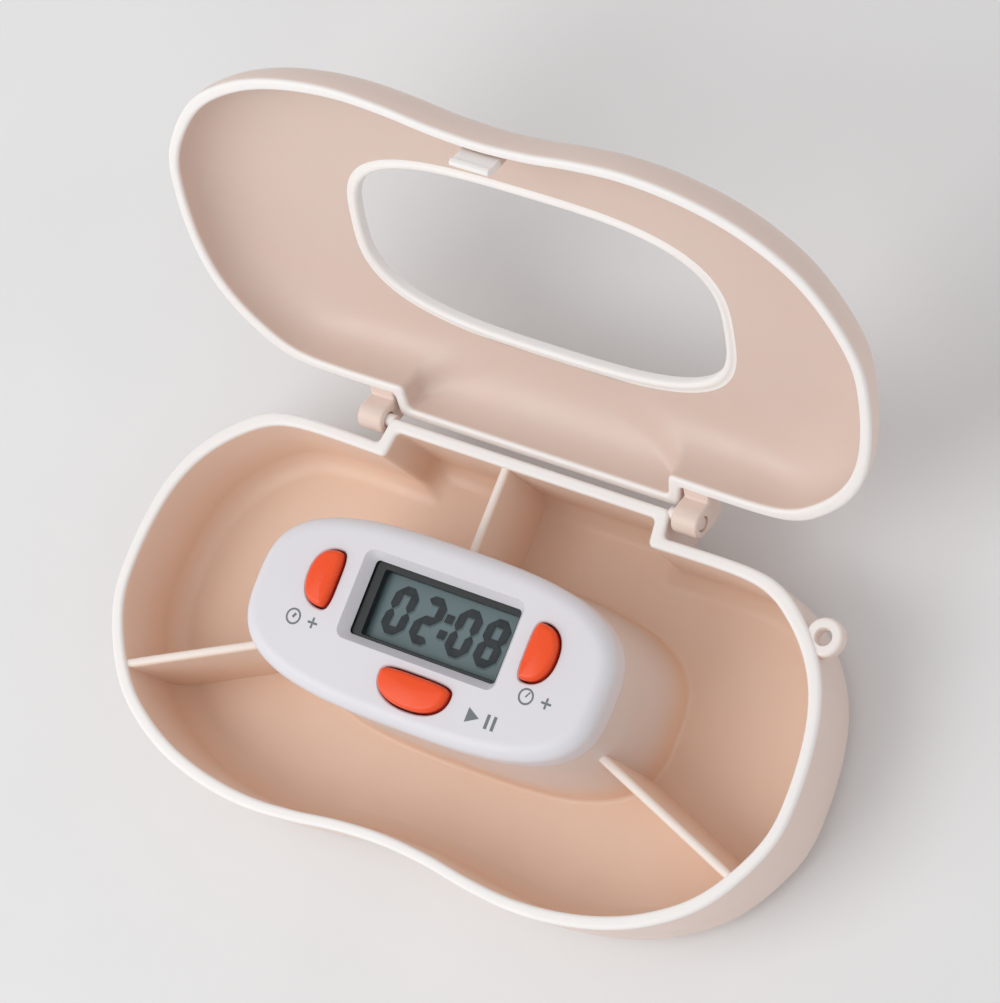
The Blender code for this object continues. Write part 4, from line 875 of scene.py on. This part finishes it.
def lid_rings(sizes):
    """Return the lid's rings and strip materials, from the rim over the dome to the window and inside."""
    size, wall, lip = cover_size(WINDOW_GAP), sizes.lid_wall, bend(sizes.rim_round)
    rim = sizes.tray_height + RIM_GAP
    top = rim + sizes.lid_height
    bottom = top - wall
    outer, inner = dome_rings(sizes, 0.0), dome_rings(sizes, wall)
    clear_of_window(outer, size, WINDOW_EDGE)
    clear_of_window(inner, size, WINDOW_BEAD)
    window = [(grow, top - drop) for drop, grow in bend(WINDOW_EDGE)]
    bead, raised = 0.5 * MM, 0.22 * MM
    for step in range(2 * EDGE_STEPS - 2):
        turn = math.pi * step / (2 * EDGE_STEPS)
        window.append((bead * (1 - math.cos(turn)), bottom + bead - raised - math.sin(turn) * bead))
    window += [(grow, bottom) for grow in (1.02 * MM, 1.12 * MM, WINDOW_BEAD)]
    window = [oval_ring(size, grow, z) for grow, z in window]
    rings = [shell_ring(sizes, inset, rim + rise) for inset, rise in reversed(lip)]
    rings += outer + between(outer[-1], window[0])
    outside_count = len(rings)
    rings += window + between(window[-1], inner[-1]) + inner[::-1]
    rings += [shell_ring(sizes, wall - draw, rim + rise) for draw, rise in lip]
    # The window's rolled bead takes the rim colour: painted light along its edge
    surfaces = [OUTSIDE] * outside_count + [RIM] * (len(window) - 1)
    return rings, surfaces + [INSIDE] * (len(rings) - len(surfaces))


def lid_parts(sizes):
    """Return the lid's two arms with their webs, its latch tab, and the holes for the arms."""
    hinge, half_bump = hinge_place(sizes), sizes.bump_width / 2
    root = -(sizes.hinge_back + sizes.lid_wall / 2)
    bottom = sizes.hinge_drop + ARM_FOOT
    top, radius = bottom + ARM_THICK, ARM_RADIUS
    middle = (bottom + top) / 2
    turns = [math.pi + math.pi * i / ARM_STEPS for i in range(ARM_STEPS + 1)]
    arm = [(radius * math.cos(turn), radius * math.sin(turn)) for turn in turns]
    arm += [
        (radius, middle - 0.2 * MM), (radius * 0.93, middle + 0.35 * MM), (radius * 0.72, top - 0.2 * MM),
        (radius / 2, top), (root, top), (root, bottom), (-radius, bottom),
    ]
    web = rectangle(root, middle, -WEB_REACH, middle + WEB_THICK)
    arm, web, hole = (shifted(outline, *hinge) for outline in (arm, web, circle(ARM_HOLE, 32)))
    start, end = half_bump + ARM_START, half_bump + ARM_END
    inner, outer = half_bump - sizes.lid_wall / 2, start + WEB_SIDE
    parts, holes = [], []
    for side in SIDES:
        parts.append(bevelled(beam("arm", arm, side * start, side * end, ARM), ARM_EDGE))
        parts.append(beam("web", web, side * inner, side * outer, ARM))
        holes.append(beam("arm_hole", hole, side * (start - ARM_HOLE_GAP), side * (end + OVERRUN), ARM))
    face = shell_half(sizes, sizes.wall, sizes.wall)[-1][1] + LATCH_GAP
    tab = shifted(mm(*LATCH_TAB), face, sizes.tray_height + RIM_GAP)
    parts.append(bevelled(beam("latch", tab, -LATCH_HALF, LATCH_HALF, INSIDE), LATCH_EDGE, 3))
    return parts, holes


class LidOperator(bpy.types.Operator):
    """Build the open lid with its window, hinge arms and latch tab"""

    bl_idname = "pill_box.lid"
    bl_label = "Lid"

    def execute(self, context):
        sizes, colours = context.scene.pill_box_shell, context.scene.pill_box_finish
        rings, surfaces = lid_rings(sizes)
        hinge = Vector((0.0, *hinge_place(sizes)))
        lid_place = (hinge, (-sizes.lid_turn, 0.0, 0.0))
        rim = sizes.hinge_drop + RIM_GAP
        # Painted light: the lid's rims turn whiter towards their edge
        painted_light_bands = [(colours.rim, *(rim + rise for rise in LID_RIM_FADE))]
        lid = coated(
            loft("lid_shell", rings, closed=True, surfaces=surfaces),
            moulded("lid plastic outside", colours.lid, 0.36, 0.16, painted_light_bands, lid_place),
            # Darker copy of the lid plastic: painted shade
            moulded("lid inside painted shade", colours.lid_inside, 0.38, 0.2, painted_light_bands, lid_place),
            moulded("lid edge painted light", colours.rim, 0.34, 0.2),
            moulded("arm plastic", colours.lid, 0.36, 0.16),
        )
        parts, holes = lid_parts(sizes)
        combine(lid, parts, "UNION")
        combine(lid, holes, "DIFFERENCE")
        turn = Matrix.Rotation(-sizes.lid_turn, 4, "X")
        lid.data.transform(Matrix.Translation(hinge) @ turn @ Matrix.Translation(-hinge))
        finished(tidied(lid), "lid", "lid_ivory", "lid")
        return {"FINISHED"}


# Timer cover and keys
def key_places():
    """Return each key's name, outline, place and top."""
    places = []
    for word, depth, width, turn in KEY_SHAPES:
        low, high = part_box(word + "_button")
        outline = turned(key_curve(depth * MM, width * MM), turn)
        places.append((word, outline, (low.x + high.x) / 2, (low.y + high.y) / 2, high.z))
    return places


def cover_rings(timer):
    """Return the cover's rings from the plate's top, round the skirt, to the plate's underside."""
    radius = timer.cover_round
    rows = [(radius + more, COVER_HIGH.z) for more in (1.2 * MM, 0.5 * MM, 0.12 * MM)]
    rows += [(inset, COVER_HIGH.z - drop) for drop, inset in bend(radius, ROUND_STEPS + 2)]
    rows += [(inset, COVER_LOW_Z + rise) for inset, rise in bend(0.3 * MM)]
    rows += [(timer.post_gap + SKIRT_WALL, z) for z in (COVER_LOW_Z, COVER_UNDER_Z)]
    return [oval_ring(cover_size(0.0), -inset, z, COVER_STEPS) for inset, z in rows]


def screen_outline(timer, rise):
    """Return the display opening's outline at a height over the plate's underside."""
    grow = 2 * (0.35 * MM + rise * timer.screen_slope / (COVER_HIGH.z - COVER_UNDER_Z))
    return rounded_rectangle(timer.screen_length + grow, timer.screen_width + grow, 0.5 * MM + rise * 0.45)


class CoverOperator(bpy.types.Operator):
    """Build the timer's white cover with its display opening and key holes"""

    bl_idname = "pill_box.cover"
    bl_label = "Timer cover"

    def execute(self, context):
        timer, colours = context.scene.pill_box_timer, context.scene.pill_box_finish
        cover = loft("timer_cover", cover_rings(timer))
        coated(cover, moulded("cover plastic", colours.cover, 0.34, 0.08))
        bosses, bores, cutters = [], [], []
        for x, forward, radius, foot, bore, bore_foot, bore_end in BOSSES:
            for side in SIDES:
                place = side * x * MM, TIMER_Y - forward * MM
                outline = circle(radius * MM, 40, *place)
                bosses.append(prism("boss", outline, foot * MM, COVER_UNDER_Z + 0.7 * MM))
                bores.append(prism("bore", circle(bore * MM, 24, *place), bore_foot * MM, bore_end * MM))
        combine(cover, bosses, "UNION")
        chamfer, past = 0.15 * MM, 0.5 * MM
        low, top, over = COVER_UNDER_Z - OVERRUN, COVER_HIGH.z, COVER_HIGH.z + past
        hole_rows = ((0.0, low), (0.0, top - chamfer), (chamfer, top), (chamfer + past, over))
        for _word, outline, x, y, _top in key_places():
            hole = offset(outline, timer.key_gap)
            cutters.append(tapered("key_hole", hole_rows, lambda grow: shifted(offset(hole, grow), x, y)))
        rows = [(max(0.0, z - COVER_UNDER_Z), z) for z in (low, COVER_UNDER_Z, top, over)]
        cutters.append(tapered("screen", rows, lambda rise: screen_outline(timer, rise)))
        combine(cover, cutters + bores, "DIFFERENCE")
        finished(tidied(cover), "base", "face_white", "timer_face")
        return {"FINISHED"}


class KeysOperator(bpy.types.Operator):
    """Build the three orange keys with rounded, slightly crowned tops"""

    bl_idname = "pill_box.keys"
    bl_label = "Keys"

    def execute(self, context):
        timer, colours = context.scene.pill_box_timer, context.scene.pill_box_finish
        # Painted shade: darker orange down each key's side towards the cover
        side_shade = (colours.key_low, COVER_HIGH.z + 0.75 * MM, COVER_HIGH.z - 0.3 * MM)
        finish = moulded("key plastic", colours.key, 0.3, 0.05, [side_shade])
        radius, crown, crown_steps = timer.key_round, timer.key_crown, 9
        flange, step_out = COVER_UNDER_Z - 0.3 * MM, 0.55 * MM
        foot = [(-step_out, flange - 2.0 * MM), (-step_out, flange - 1.0 * MM)]
        foot += [(step_out, flange - 1.0 * MM), (step_out, flange), (0.0, flange)]
        for word, outline, x, y, top in key_places():
            rows = foot + [(-inset, top - crown - drop) for inset, drop in bend(radius, ROUND_STEPS)]
            rings = [level(offset(outline, grow), z) for grow, z in rows]
            last = [Vector(point) for point in offset(outline, -radius)]
            centre = Vector((sum(p.x for p in last), sum(p.y for p in last))) / len(last)
            for step in range(1, crown_steps):
                part = step / crown_steps
                curve = [point.lerp(centre, part) for point in last]
                rings.append(level(curve, top - crown * (1 - part) ** 2))
            rings = [[Vector((p.x + x, p.y + y, p.z)) for p in ring] for ring in rings]
            key = tidied(coated(loft(word + "_cap", rings), finish))
            finished(key, word + "_key", "key_orange", word + "_button")
        return {"FINISHED"}


# Key marks
def stroke(start, end, width):
    """Return the outline of a bar from one point to another."""
    start, end = Vector(start), Vector(end)
    along = (end - start).normalized() * (width / 2)
    aside = along.orthogonal()
    first, last = start - along, end + along
    return [tuple(point) for point in (first - aside, last - aside, last + aside, first + aside)]


def dial_mark(x, y, reach, width):
    """Return the outlines, in millimetres, of a small dial with one hand and a plus sign beside it."""
    dial, plus, turn = x - 1.25, x + 1.35, math.radians(60.0)
    outer, inner, half, gap, thick = 0.95, 0.73, 0.5, 0.28, 0.26
    hand_end = (dial + reach * math.cos(turn), y + reach * math.sin(turn))
    arms = [stroke((plus, y + side * gap), (plus, y + side * half), thick) for side in SIDES]
    return [
        (circle(outer, 40, dial, y), circle(inner, 40, dial, y)), (stroke((dial, y), hand_end, width),),
        (stroke((plus - half, y), (plus + half, y), thick),), *((arm,) for arm in arms),
    ]


def start_mark(x, y):
    """Return the outlines, in millimetres, of a forward triangle and two bars."""
    back, tip, half, tall, thick = 1.9, 0.3, 0.85, 0.62, 0.4
    bars = [(stroke((x + place, y - tall), (x + place, y + tall), thick),) for place in (0.75, 1.6)]
    return [([(x - back, y - half), (x - tip, y), (x - back, y + half)],)] + bars


class MarksOperator(bpy.types.Operator):
    """Print a plain symbol beside each key"""

    bl_idname = "pill_box.marks"
    bl_label = "Key marks"

    def execute(self, context):
        colours = context.scene.pill_box_finish
        sunk, proud, parts = 0.05 * MM, 0.015 * MM, []
        bottom, top = COVER_HIGH.z - sunk, COVER_HIGH.z + proud
        for outlines in dial_mark(*HOUR_MARK) + dial_mark(*MINUTE_MARK) + start_mark(*START_MARK):
            outer, *hole = (shifted(mm(*outline), 0.0, TIMER_Y) for outline in outlines)
            rings = [level(outer, bottom), level(outer, top)]
            rings += [level(hole[0], top), level(hole[0], bottom)] if hole else []
            parts.append(loft("mark", rings, closed=bool(hole)))
        marks = placed("key_marks", bpy.data.meshes.new("key_marks"))
        edited(marks, lambda data: [data.from_mesh(part.data) for part in parts])
        for part in parts:
            discard(part)
        coated(marks, glossy("mark print", colours.mark, 0.5, scale=1500.0, spot=0.92))
        finished(marks, "base", "black_plastic")
        return {"FINISHED"}


# Display
SEGMENTS = {
    "0": "abcdef", "1": "bc", "2": "abdeg", "3": "abcdg", "4": "bcfg", "5": "acdfg",
    "6": "acdefg", "7": "abc", "8": "abcdefg", "9": "abcdfg",
}
SEGMENT_PLACES = {
    "a": (0.0, 1.0, 0), "b": (1.0, 0.5, 1), "c": (1.0, -0.5, 1), "d": (0.0, -1.0, 0),
    "e": (-1.0, -0.5, 1), "f": (-1.0, 0.5, 1), "g": (0.0, 0.0, 0),
}


def segment_lines(timer):
    """Return the lit segments as rows of points, each point with its own share of the segment's width."""
    half_width = (timer.digit_width - timer.segment) / 2
    half_height = (timer.digit_height - timer.segment) / 2
    gap, shoulder, tip, colon_room = 0.04 * MM, timer.segment / 2, 0.12, 0.5 * MM
    rows = []
    for index, digit in enumerate(timer.reading):
        place = index - (len(timer.reading) - 1) / 2
        middle = place * timer.digit_pitch + math.copysign(colon_room, place)
        for letter in SEGMENTS[digit]:
            x, y, upright = SEGMENT_PLACES[letter]
            centre = Vector((middle + x * half_width, y * half_height))
            reach = (half_height / 2 if upright else half_width) - gap
            step = Vector((0.0, 1.0) if upright else (1.0, 0.0))
            inner = reach - shoulder
            rows.append([(centre + step * at, part) for at, part in (
                (-reach, tip), (-inner, 1.0), (inner, 1.0), (reach, tip))])
    for y in (-0.4, 0.4):
        centre = Vector((0.0, y * half_height))
        rows.append([(centre + Vector((side * shoulder, 0.0)), 1.0) for side in SIDES])
    return rows


def new_tree(name, sockets):
    """Return a geometry node tree with its named inputs, the sockets of its entry, and its exit."""
    tree = bpy.data.node_groups.new(name, "GeometryNodeTree")
    for socket, kind in (("Geometry", "Geometry"), *sockets):
        tree.interface.new_socket(socket, in_out="INPUT", socket_type="NodeSocket" + kind)
    tree.interface.new_socket("Geometry", in_out="OUTPUT", socket_type="NodeSocketGeometry")
    return tree, tree.nodes.new("NodeGroupInput").outputs, tree.nodes.new("NodeGroupOutput")


def close_tree(tree, result, leave, material):
    """End a tree in realized instances and a material."""
    whole = node(tree, "GeometryNodeRealizeInstances", {"Geometry": result}).outputs[0]
    paint = node(tree, "GeometryNodeSetMaterial", {"Geometry": whole, "Material": material}).outputs[0]
    fed(tree, leave, {"Geometry": paint})
    return tree


def grown(target, tree, **values):
    """Run a node tree on an object and keep the result as its plain mesh."""
    modifier = modify(target, tree.name, "NODES", node_group=tree)
    for item in tree.interface.items_tree:
        key = item.name.replace(" ", "_").lower()
        if item.item_type == "SOCKET" and item.in_out == "INPUT" and key in values:
            modifier[item.identifier] = values[key]
    return apply_modifiers(target)


def segment_tree(material):
    """Return a tree that runs a flat bar along each segment line and leans the whole reading."""
    sockets = (("Segment Width", "Float"), ("Thickness", "Float"), ("Slant", "Float"), ("Place", "Vector"))
    tree, enter, leave = new_tree("display segments", sockets)
    curve = node(tree, "GeometryNodeMeshToCurve", {"Mesh": enter["Geometry"]}).outputs[0]
    named = node(tree, "GeometryNodeInputNamedAttribute", {"Name": "width_share"}, data_type="FLOAT")
    share = named.outputs[0]
    curve = node(tree, "GeometryNodeSetCurveRadius", {"Curve": curve, "Radius": share}).outputs[0]
    curve = node(tree, "GeometryNodeSetCurveNormal", {"Curve": curve}, mode="Z_UP").outputs[0]
    bar_size = {"Width": enter["Segment Width"], "Height": enter["Thickness"]}
    bar = node(tree, "GeometryNodeCurvePrimitiveQuadrilateral", bar_size).outputs[0]
    inputs = {"Curve": curve, "Profile Curve": bar, "Fill Caps": True, "Scale": share}
    sweep = node(tree, "GeometryNodeCurveToMesh", inputs).outputs[0]
    spot = tree.nodes.new("GeometryNodeInputPosition").outputs[0]
    x, y, z = node(tree, "ShaderNodeSeparateXYZ", {"Vector": spot}).outputs
    lean = calculated(tree, "MULTIPLY_ADD", y, enter["Slant"], x)
    flat = calculated(tree, "MULTIPLY", calculated(tree, "SIGN", z), enter["Thickness"])
    move = node(tree, "ShaderNodeCombineXYZ", {"X": lean, "Y": y, "Z": flat}).outputs[0]
    inputs = {"Geometry": sweep, "Position": move, "Offset": enter["Place"]}
    return close_tree(tree, node(tree, "GeometryNodeSetPosition", inputs).outputs[0], leave, material)


def segments(name, timer, material, place, widen=0.0):
    """Return the reading as one mesh of flat bars."""
    verts, edges, shares = [], [], []
    for row in segment_lines(timer):
        edges += [(len(verts) + i, len(verts) + i + 1) for i in range(len(row) - 1)]
        verts += [(*point, 0.0) for point, _part in row]
        shares += [part for _point, part in row]
    mesh = bpy.data.meshes.new(name)
    mesh.from_pydata(verts, edges, [])
    mesh.attributes.new("width_share", "FLOAT", "POINT").data.foreach_set("value", shares)
    target = grown(
        placed(name, mesh), segment_tree(material), segment_width=timer.segment + widen,
        thickness=0.015 * MM, slant=timer.digit_slant, place=place,
    )
    edited(target, lambda data: bmesh.ops.recalc_face_normals(data, faces=data.faces))
    target.data.shade_flat()
    finished(target, "base", "display_glass")


class DisplayOperator(bpy.types.Operator):
    """Build the dark frame, the grey green panel and the lit segments of the display"""

    bl_idname = "pill_box.display"
    bl_label = "Display"

    def execute(self, context):
        timer, colours = context.scene.pill_box_timer, context.scene.pill_box_finish
        corner, panel_corner, edge, sunk = 0.5 * MM, 0.3 * MM, 0.1 * MM, 0.12 * MM
        frame_ends, frame_sides, aside, forward = 1.05 * MM, 0.55 * MM, 0.5 * MM, 0.17 * MM
        outer = rounded_rectangle(BEZEL_HIGH.x * 2, BEZEL_HIGH.y - BEZEL_LOW.y, corner)
        border = prism("display_frame", outer, BEZEL_LOW.z, BEZEL_HIGH.z)
        coated(border, glossy("display frame black", colours.frame, 0.35, scale=1200.0, spot=0.85))
        across, along = timer.screen_length - frame_ends, timer.screen_width - frame_sides
        low, slope = BEZEL_LOW.z, 0.35 * MM
        # The opening is shifted towards +X and -Y, so the black frame shows wider at the -X end and the +Y
        # side: a real frame, widened there as painted shadow of the deep recess
        opening = tapered(
            "opening", ((0.0, low - OVERRUN), (0.0, low + edge), (slope, BEZEL_HIGH.z + 0.2 * MM)),
            lambda grow: rounded_rectangle(
                across + grow, along + grow, panel_corner, aside, SCREEN_Y - forward),
        )
        combine(border, [opening], "DIFFERENCE")
        finished(tidied(border), "base", "black_plastic", "display_bezel")
        outline = rounded_rectangle(PANEL_HIGH.x * 2, PANEL_HIGH.y - PANEL_LOW.y, panel_corner)
        panel = bevelled(prism("display_panel", outline, PANEL_LOW.z, PANEL_HIGH.z - sunk), edge, 2)
        coated(panel, glossy("display back", colours.panel, 0.42, scale=500.0, spot=0.93, coat=0.25))
        finished(tidied(panel), "base", "display_glass", "display_cell")
        ink = glossy("display ink", colours.digit, 0.5, scale=900.0)
        soft = glossy("display shade", colours.digit_shade, 0.45, scale=900.0, spot=0.92)
        spot = Vector((0.7 * MM, SCREEN_Y - 0.1 * MM, PANEL_HIGH.z - 0.04 * MM))
        segments("display_digits", timer, ink, spot)
        segments("display_shade", timer, soft, spot + Vector((0.16, -0.2, -0.07)) * MM, 0.04 * MM)
        return {"FINISHED"}


# Battery door
class DoorOperator(bpy.types.Operator):
    """Build the round battery door with its hub, tabs and coin slot"""

    bl_idname = "pill_box.door"
    bl_label = "Battery door"

    def execute(self, context):
        colours = context.scene.pill_box_finish
        sink, radius, hub, thick = 0.2 * MM, 6.8 * MM, 6.3 * MM, 1.4 * MM
        profile = [(radius - draw, sink + rise) for rise, draw in bend(0.4 * MM)]
        profile += [(radius, thick), (hub, thick), (hub, HATCH_HIGH.z)]
        door = revolve("battery_cover", profile, HATCH_X, TIMER_Y, 128)
        coated(door, moulded("battery door plastic", colours.tray, 0.4, 0.12))
        tab = rectangle(TAB_START, -TAB_HALF, TAB_END, TAB_HALF)
        bottom, top = HATCH_HIGH.z - TAB_THICK, HATCH_HIGH.z - TAB_CLEAR
        turns = (DOOR_TURN + math.pi / 2, DOOR_TURN - math.pi / 2)
        tabs = [prism("tab", shifted(turned(tab, turn), HATCH_X, TIMER_Y), bottom, top) for turn in turns]
        combine(door, tabs, "UNION")
        slot = tapered(
            "coin_slot", mm(*SLOT_ROWS),
            lambda grow: rounded_rectangle(
                SLOT_LENGTH + grow, SLOT_WIDTH + grow, SLOT_CORNER, HATCH_X, TIMER_Y),
        )
        combine(door, [slot], "DIFFERENCE")
        finished(tidied(door), "battery_door", "tray_ivory", "battery_door")
        return {"FINISHED"}


# Screws
def screw_tree(material):
    """Return a tree that sets copies of a screw in a row."""
    sockets = (("Count", "Int"), ("Start", "Vector"), ("Spacing", "Vector"))
    tree, enter, leave = new_tree("screw row", sockets)
    inputs = {"Count": enter["Count"], "Start Location": enter["Start"], "Offset": enter["Spacing"]}
    row = node(tree, "GeometryNodeMeshLine", inputs).outputs[0]
    copies = node(tree, "GeometryNodeInstanceOnPoints", {"Points": row, "Instance": enter["Geometry"]})
    return close_tree(tree, copies.outputs[0], leave, material)


def screw_solid(name, head, shank, height):
    """Return a pan head screw with a cross recess and a thread, its head's face at the origin."""
    radius, thick = head
    profile = [(radius * (1 - 0.65 * draw), thick * 0.35 * rise + 0.02 * MM) for rise, draw in bend(1.0)]
    profile += [(radius, thick), (shank, thick)]
    pitch, root = 0.55 * MM, shank * 0.78
    z = thick + pitch / 2
    while z < height - 2 * pitch:
        profile += [(root, z), (shank, z + pitch * 0.35), (shank, z + pitch * 0.5), (root, z + pitch * 0.85)]
        z += pitch
    profile += [(shank * 0.7, height - pitch), (shank * 0.25, height)]
    screw = revolve(name, profile)
    reach, half = radius * 0.62, radius * 0.14
    recess = ((1.0, -OVERRUN), (1.0, 0.0), (0.55, thick * 0.55))
    cutters = [
        tapered("cross", recess, lambda taper: [(x * along * taper, y * aside * taper) for x, y in CORNERS])
        for along, aside in ((reach, half), (half, reach))
    ]
    return tidied(combine(screw, cutters, "DIFFERENCE"))


class ScrewsOperator(bpy.types.Operator):
    """Build the two long screws of the underside and the two short ones of the circuit board"""

    bl_idname = "pill_box.screws"
    bl_label = "Screws"

    def execute(self, context):
        metal = glossy("screw steel", srgb(176, 176, 180), 0.3, 1.0, 1500.0, 0.85)
        rows = (
            ("cover_screws", "face_screw", (1.7 * MM, 1.2 * MM), 0.75 * MM),
            ("board_screws", "board_screw", (1.1 * MM, 0.7 * MM), 0.5 * MM),
        )
        for name, word, head, shank in rows:
            left, right = (word + side for side in ("_left", "_right"))
            (low, high), (far_low, far_high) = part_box(left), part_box(right)
            start = Vector(((low.x + high.x) / 2, (low.y + high.y) / 2, low.z))
            spacing = Vector(((far_low.x + far_high.x) / 2 - start.x, 0.0, 0.0))
            screws = screw_solid(name, head, shank, high.z - low.z)
            grown(screws, screw_tree(metal), count=2, start=start, spacing=spacing)
            finished(screws, "base", "steel", left, right)
        return {"FINISHED"}


# Inner parts
class InnerOperator(bpy.types.Operator):
    """Give the circuit board, battery, contacts, buzzer and rubber parts their finishes"""

    bl_idname = "pill_box.inner"
    bl_label = "Inner parts"

    def execute(self, context):
        board = glossy("board lacquer", srgb(30, 96, 58), 0.3, scale=420.0, spot=0.75, coat=0.5)
        resin = glossy("black resin", srgb(26, 26, 28), 0.35, scale=600.0, spot=0.7)
        can = glossy("brushed can", srgb(196, 197, 200), 0.28, 1.0, 300.0, 0.85, streak=(1.0, 14.0, 1.0))
        cell = glossy("cell steel", srgb(205, 205, 208), 0.24, 1.0, 240.0, 0.88, streak=(1.0, 1.0, 12.0))
        leaf = glossy("contact metal", srgb(202, 190, 160), 0.26, 1.0, 500.0, 0.88, streak=(8.0, 1.0, 1.0))
        rubber = glossy("dark rubber", srgb(44, 44, 46), 0.75, scale=900.0, spot=0.8)
        finishes = {
            "circuit_board": board, "chip_blob": resin, "buzzer": resin, "quartz_crystal": can,
            "button_cell": cell, "battery_contact_plus": leaf, "battery_contact_minus": leaf,
            "zebra_strip": rubber, "hour_pad": rubber, "minute_pad": rubber, "start_pad": rubber,
        }
        for name, finish in finishes.items():
            target = frame["nodes"][name]
            target.data.materials.clear()
            coated(target, finish)
        return {"FINISHED"}


# Stage
def direction(turn, height):
    """Return the direction at an angle round the object and over the horizon."""
    return Vector((math.sin(turn) * math.cos(height), -math.cos(turn) * math.cos(height), math.sin(height)))


def soft_light(name, turn, height, distance, power, tint):
    """Add a square soft light that faces the object."""
    data = bpy.data.lights.new(name, "AREA")
    data.shape, data.size, data.energy, data.color = "SQUARE", 0.6, power, tint
    away = direction(math.radians(turn), math.radians(height))
    result = placed(name, data)
    result.location = away * distance
    result.rotation_mode = "QUATERNION"
    result.rotation_quaternion = (-away).to_track_quat("-Z", "Y")


def either(tree, amount, first, second, end):
    """Send one of two shaders to a tree's end, mixed by an amount."""
    mix = node(tree, "ShaderNodeMixShader", {0: amount, 1: first.outputs[0], 2: second.outputs[0]})
    fed(tree, tree.nodes[end], {"Surface": mix.outputs[0]})


class StageOperator(bpy.types.Operator):
    """Set out the pale floor, the soft lights, the even sky and the camera"""

    bl_idname = "pill_box.stage"
    bl_label = "Stage"

    def execute(self, context):
        scene, studio = context.scene, context.scene.pill_box_studio
        scene.view_settings.view_transform = "Standard"
        backdrop = {"Color": (*BACKDROP, 1.0)}
        ground, fade = FRAME_BOX[0].z, (0.14, 0.6)
        floor = prism("floor", circle(2.5, 96), ground - 4.0 * MM, ground)
        material, tree, shader, place = new_material("pale floor")
        tone = mixed(tree, noise(tree, place, 30.0, 4.0, 0.5), srgb(232, 232, 233), BACKDROP)
        fed(tree, shader, {"Base Color": tone, "Roughness": 0.75})
        far = node(tree, "ShaderNodeVectorMath", {0: place}, operation="LENGTH").outputs["Value"]
        rays = tree.nodes.new("ShaderNodeLightPath").outputs
        seen = calculated(tree, "MULTIPLY", spread(tree, far, 0.0, 1.0, *fade), rays["Is Camera Ray"])
        either(tree, seen, shader, node(tree, "ShaderNodeEmission", backdrop), "Material Output")
        coated(floor, material)
        world = scene.world = bpy.data.worlds.new("even sky")
        world.use_nodes = True
        tree = world.node_tree
        sky = fed(tree, tree.nodes["Background"], {"Color": (1.0, 1.0, 1.0, 1.0), "Strength": studio.world})
        rays = tree.nodes.new("ShaderNodeLightPath").outputs
        seen = calculated(tree, "MAXIMUM", rays["Is Camera Ray"], rays["Is Glossy Ray"])
        seen = calculated(tree, "MAXIMUM", seen, rays["Is Transmission Ray"])
        either(tree, seen, sky, node(tree, "ShaderNodeBackground", backdrop), "World Output")
        soft_light("main light", -42.0, 50.0, 0.7, studio.key_power, (1.0, 0.985, 0.965))
        soft_light("side light", 95.0, 35.0, 0.9, studio.fill_power, (0.97, 0.985, 1.0))
        turn, roll = studio.azimuth, studio.roll
        view = direction(turn, studio.elevation)
        right = Vector((math.cos(turn), math.sin(turn), 0.0))
        up = view.cross(right)
        rolled = right * math.cos(roll) + up * math.sin(roll)
        risen = up * math.cos(roll) - right * math.sin(roll)
        data = bpy.data.cameras.new("camera")
        data.sensor_width, data.lens, data.clip_start, data.clip_end = 36.0, studio.lens, 0.01, 20.0
        camera = scene.camera = placed("camera", data)
        axes = Matrix((rolled, risen, view)).transposed().to_4x4()
        camera.matrix_world = Matrix.Translation(Vector(studio.target) + view * studio.distance) @ axes
        return {"FINISHED"}


class PillBoxPanel(bpy.types.Panel):
    """Sizes, colours and building steps of the pill box"""

    bl_idname = "VIEW3D_PT_pill_box"
    bl_label = "Pill Box"
    bl_space_type = "VIEW_3D"
    bl_region_type = "UI"
    bl_category = "Pill Box"

    def draw(self, context):
        for operator in OPERATORS:
            self.layout.operator(operator.bl_idname)
        for name, kind in SETTINGS:
            box = self.layout.box()
            for field in kind.__annotations__:
                box.prop(getattr(context.scene, name), field)


OPERATORS = (
    TrayOperator, LidOperator, CoverOperator, KeysOperator, MarksOperator, DisplayOperator,
    DoorOperator, ScrewsOperator, InnerOperator, StageOperator,
)
SETTINGS = (
    ("pill_box_shell", ShellSizes), ("pill_box_timer", TimerSizes),
    ("pill_box_finish", FinishColours), ("pill_box_studio", StudioSettings),
)
CLASSES = tuple(kind for _name, kind in SETTINGS) + OPERATORS + (PillBoxPanel,)


def register():
    """Add the classes and their settings."""
    for kind in CLASSES:
        bpy.utils.register_class(kind)
    for name, kind in SETTINGS:
        setattr(bpy.types.Scene, name, PointerProperty(type=kind))


def unregister():
    """Take the classes and their settings away again."""
    for name, _kind in SETTINGS:
        delattr(bpy.types.Scene, name)
    for kind in reversed(CLASSES):
        bpy.utils.unregister_class(kind)


def main():
    """Add the classes and build every piece in order."""
    register()
    bpy.ops.pill_box.tray()
    bpy.ops.pill_box.lid()
    bpy.ops.pill_box.cover()
    bpy.ops.pill_box.keys()
    bpy.ops.pill_box.marks()
    bpy.ops.pill_box.display()
    bpy.ops.pill_box.door()
    bpy.ops.pill_box.screws()
    bpy.ops.pill_box.inner()
    bpy.ops.pill_box.stage()


if __name__ == "__main__":
    main()
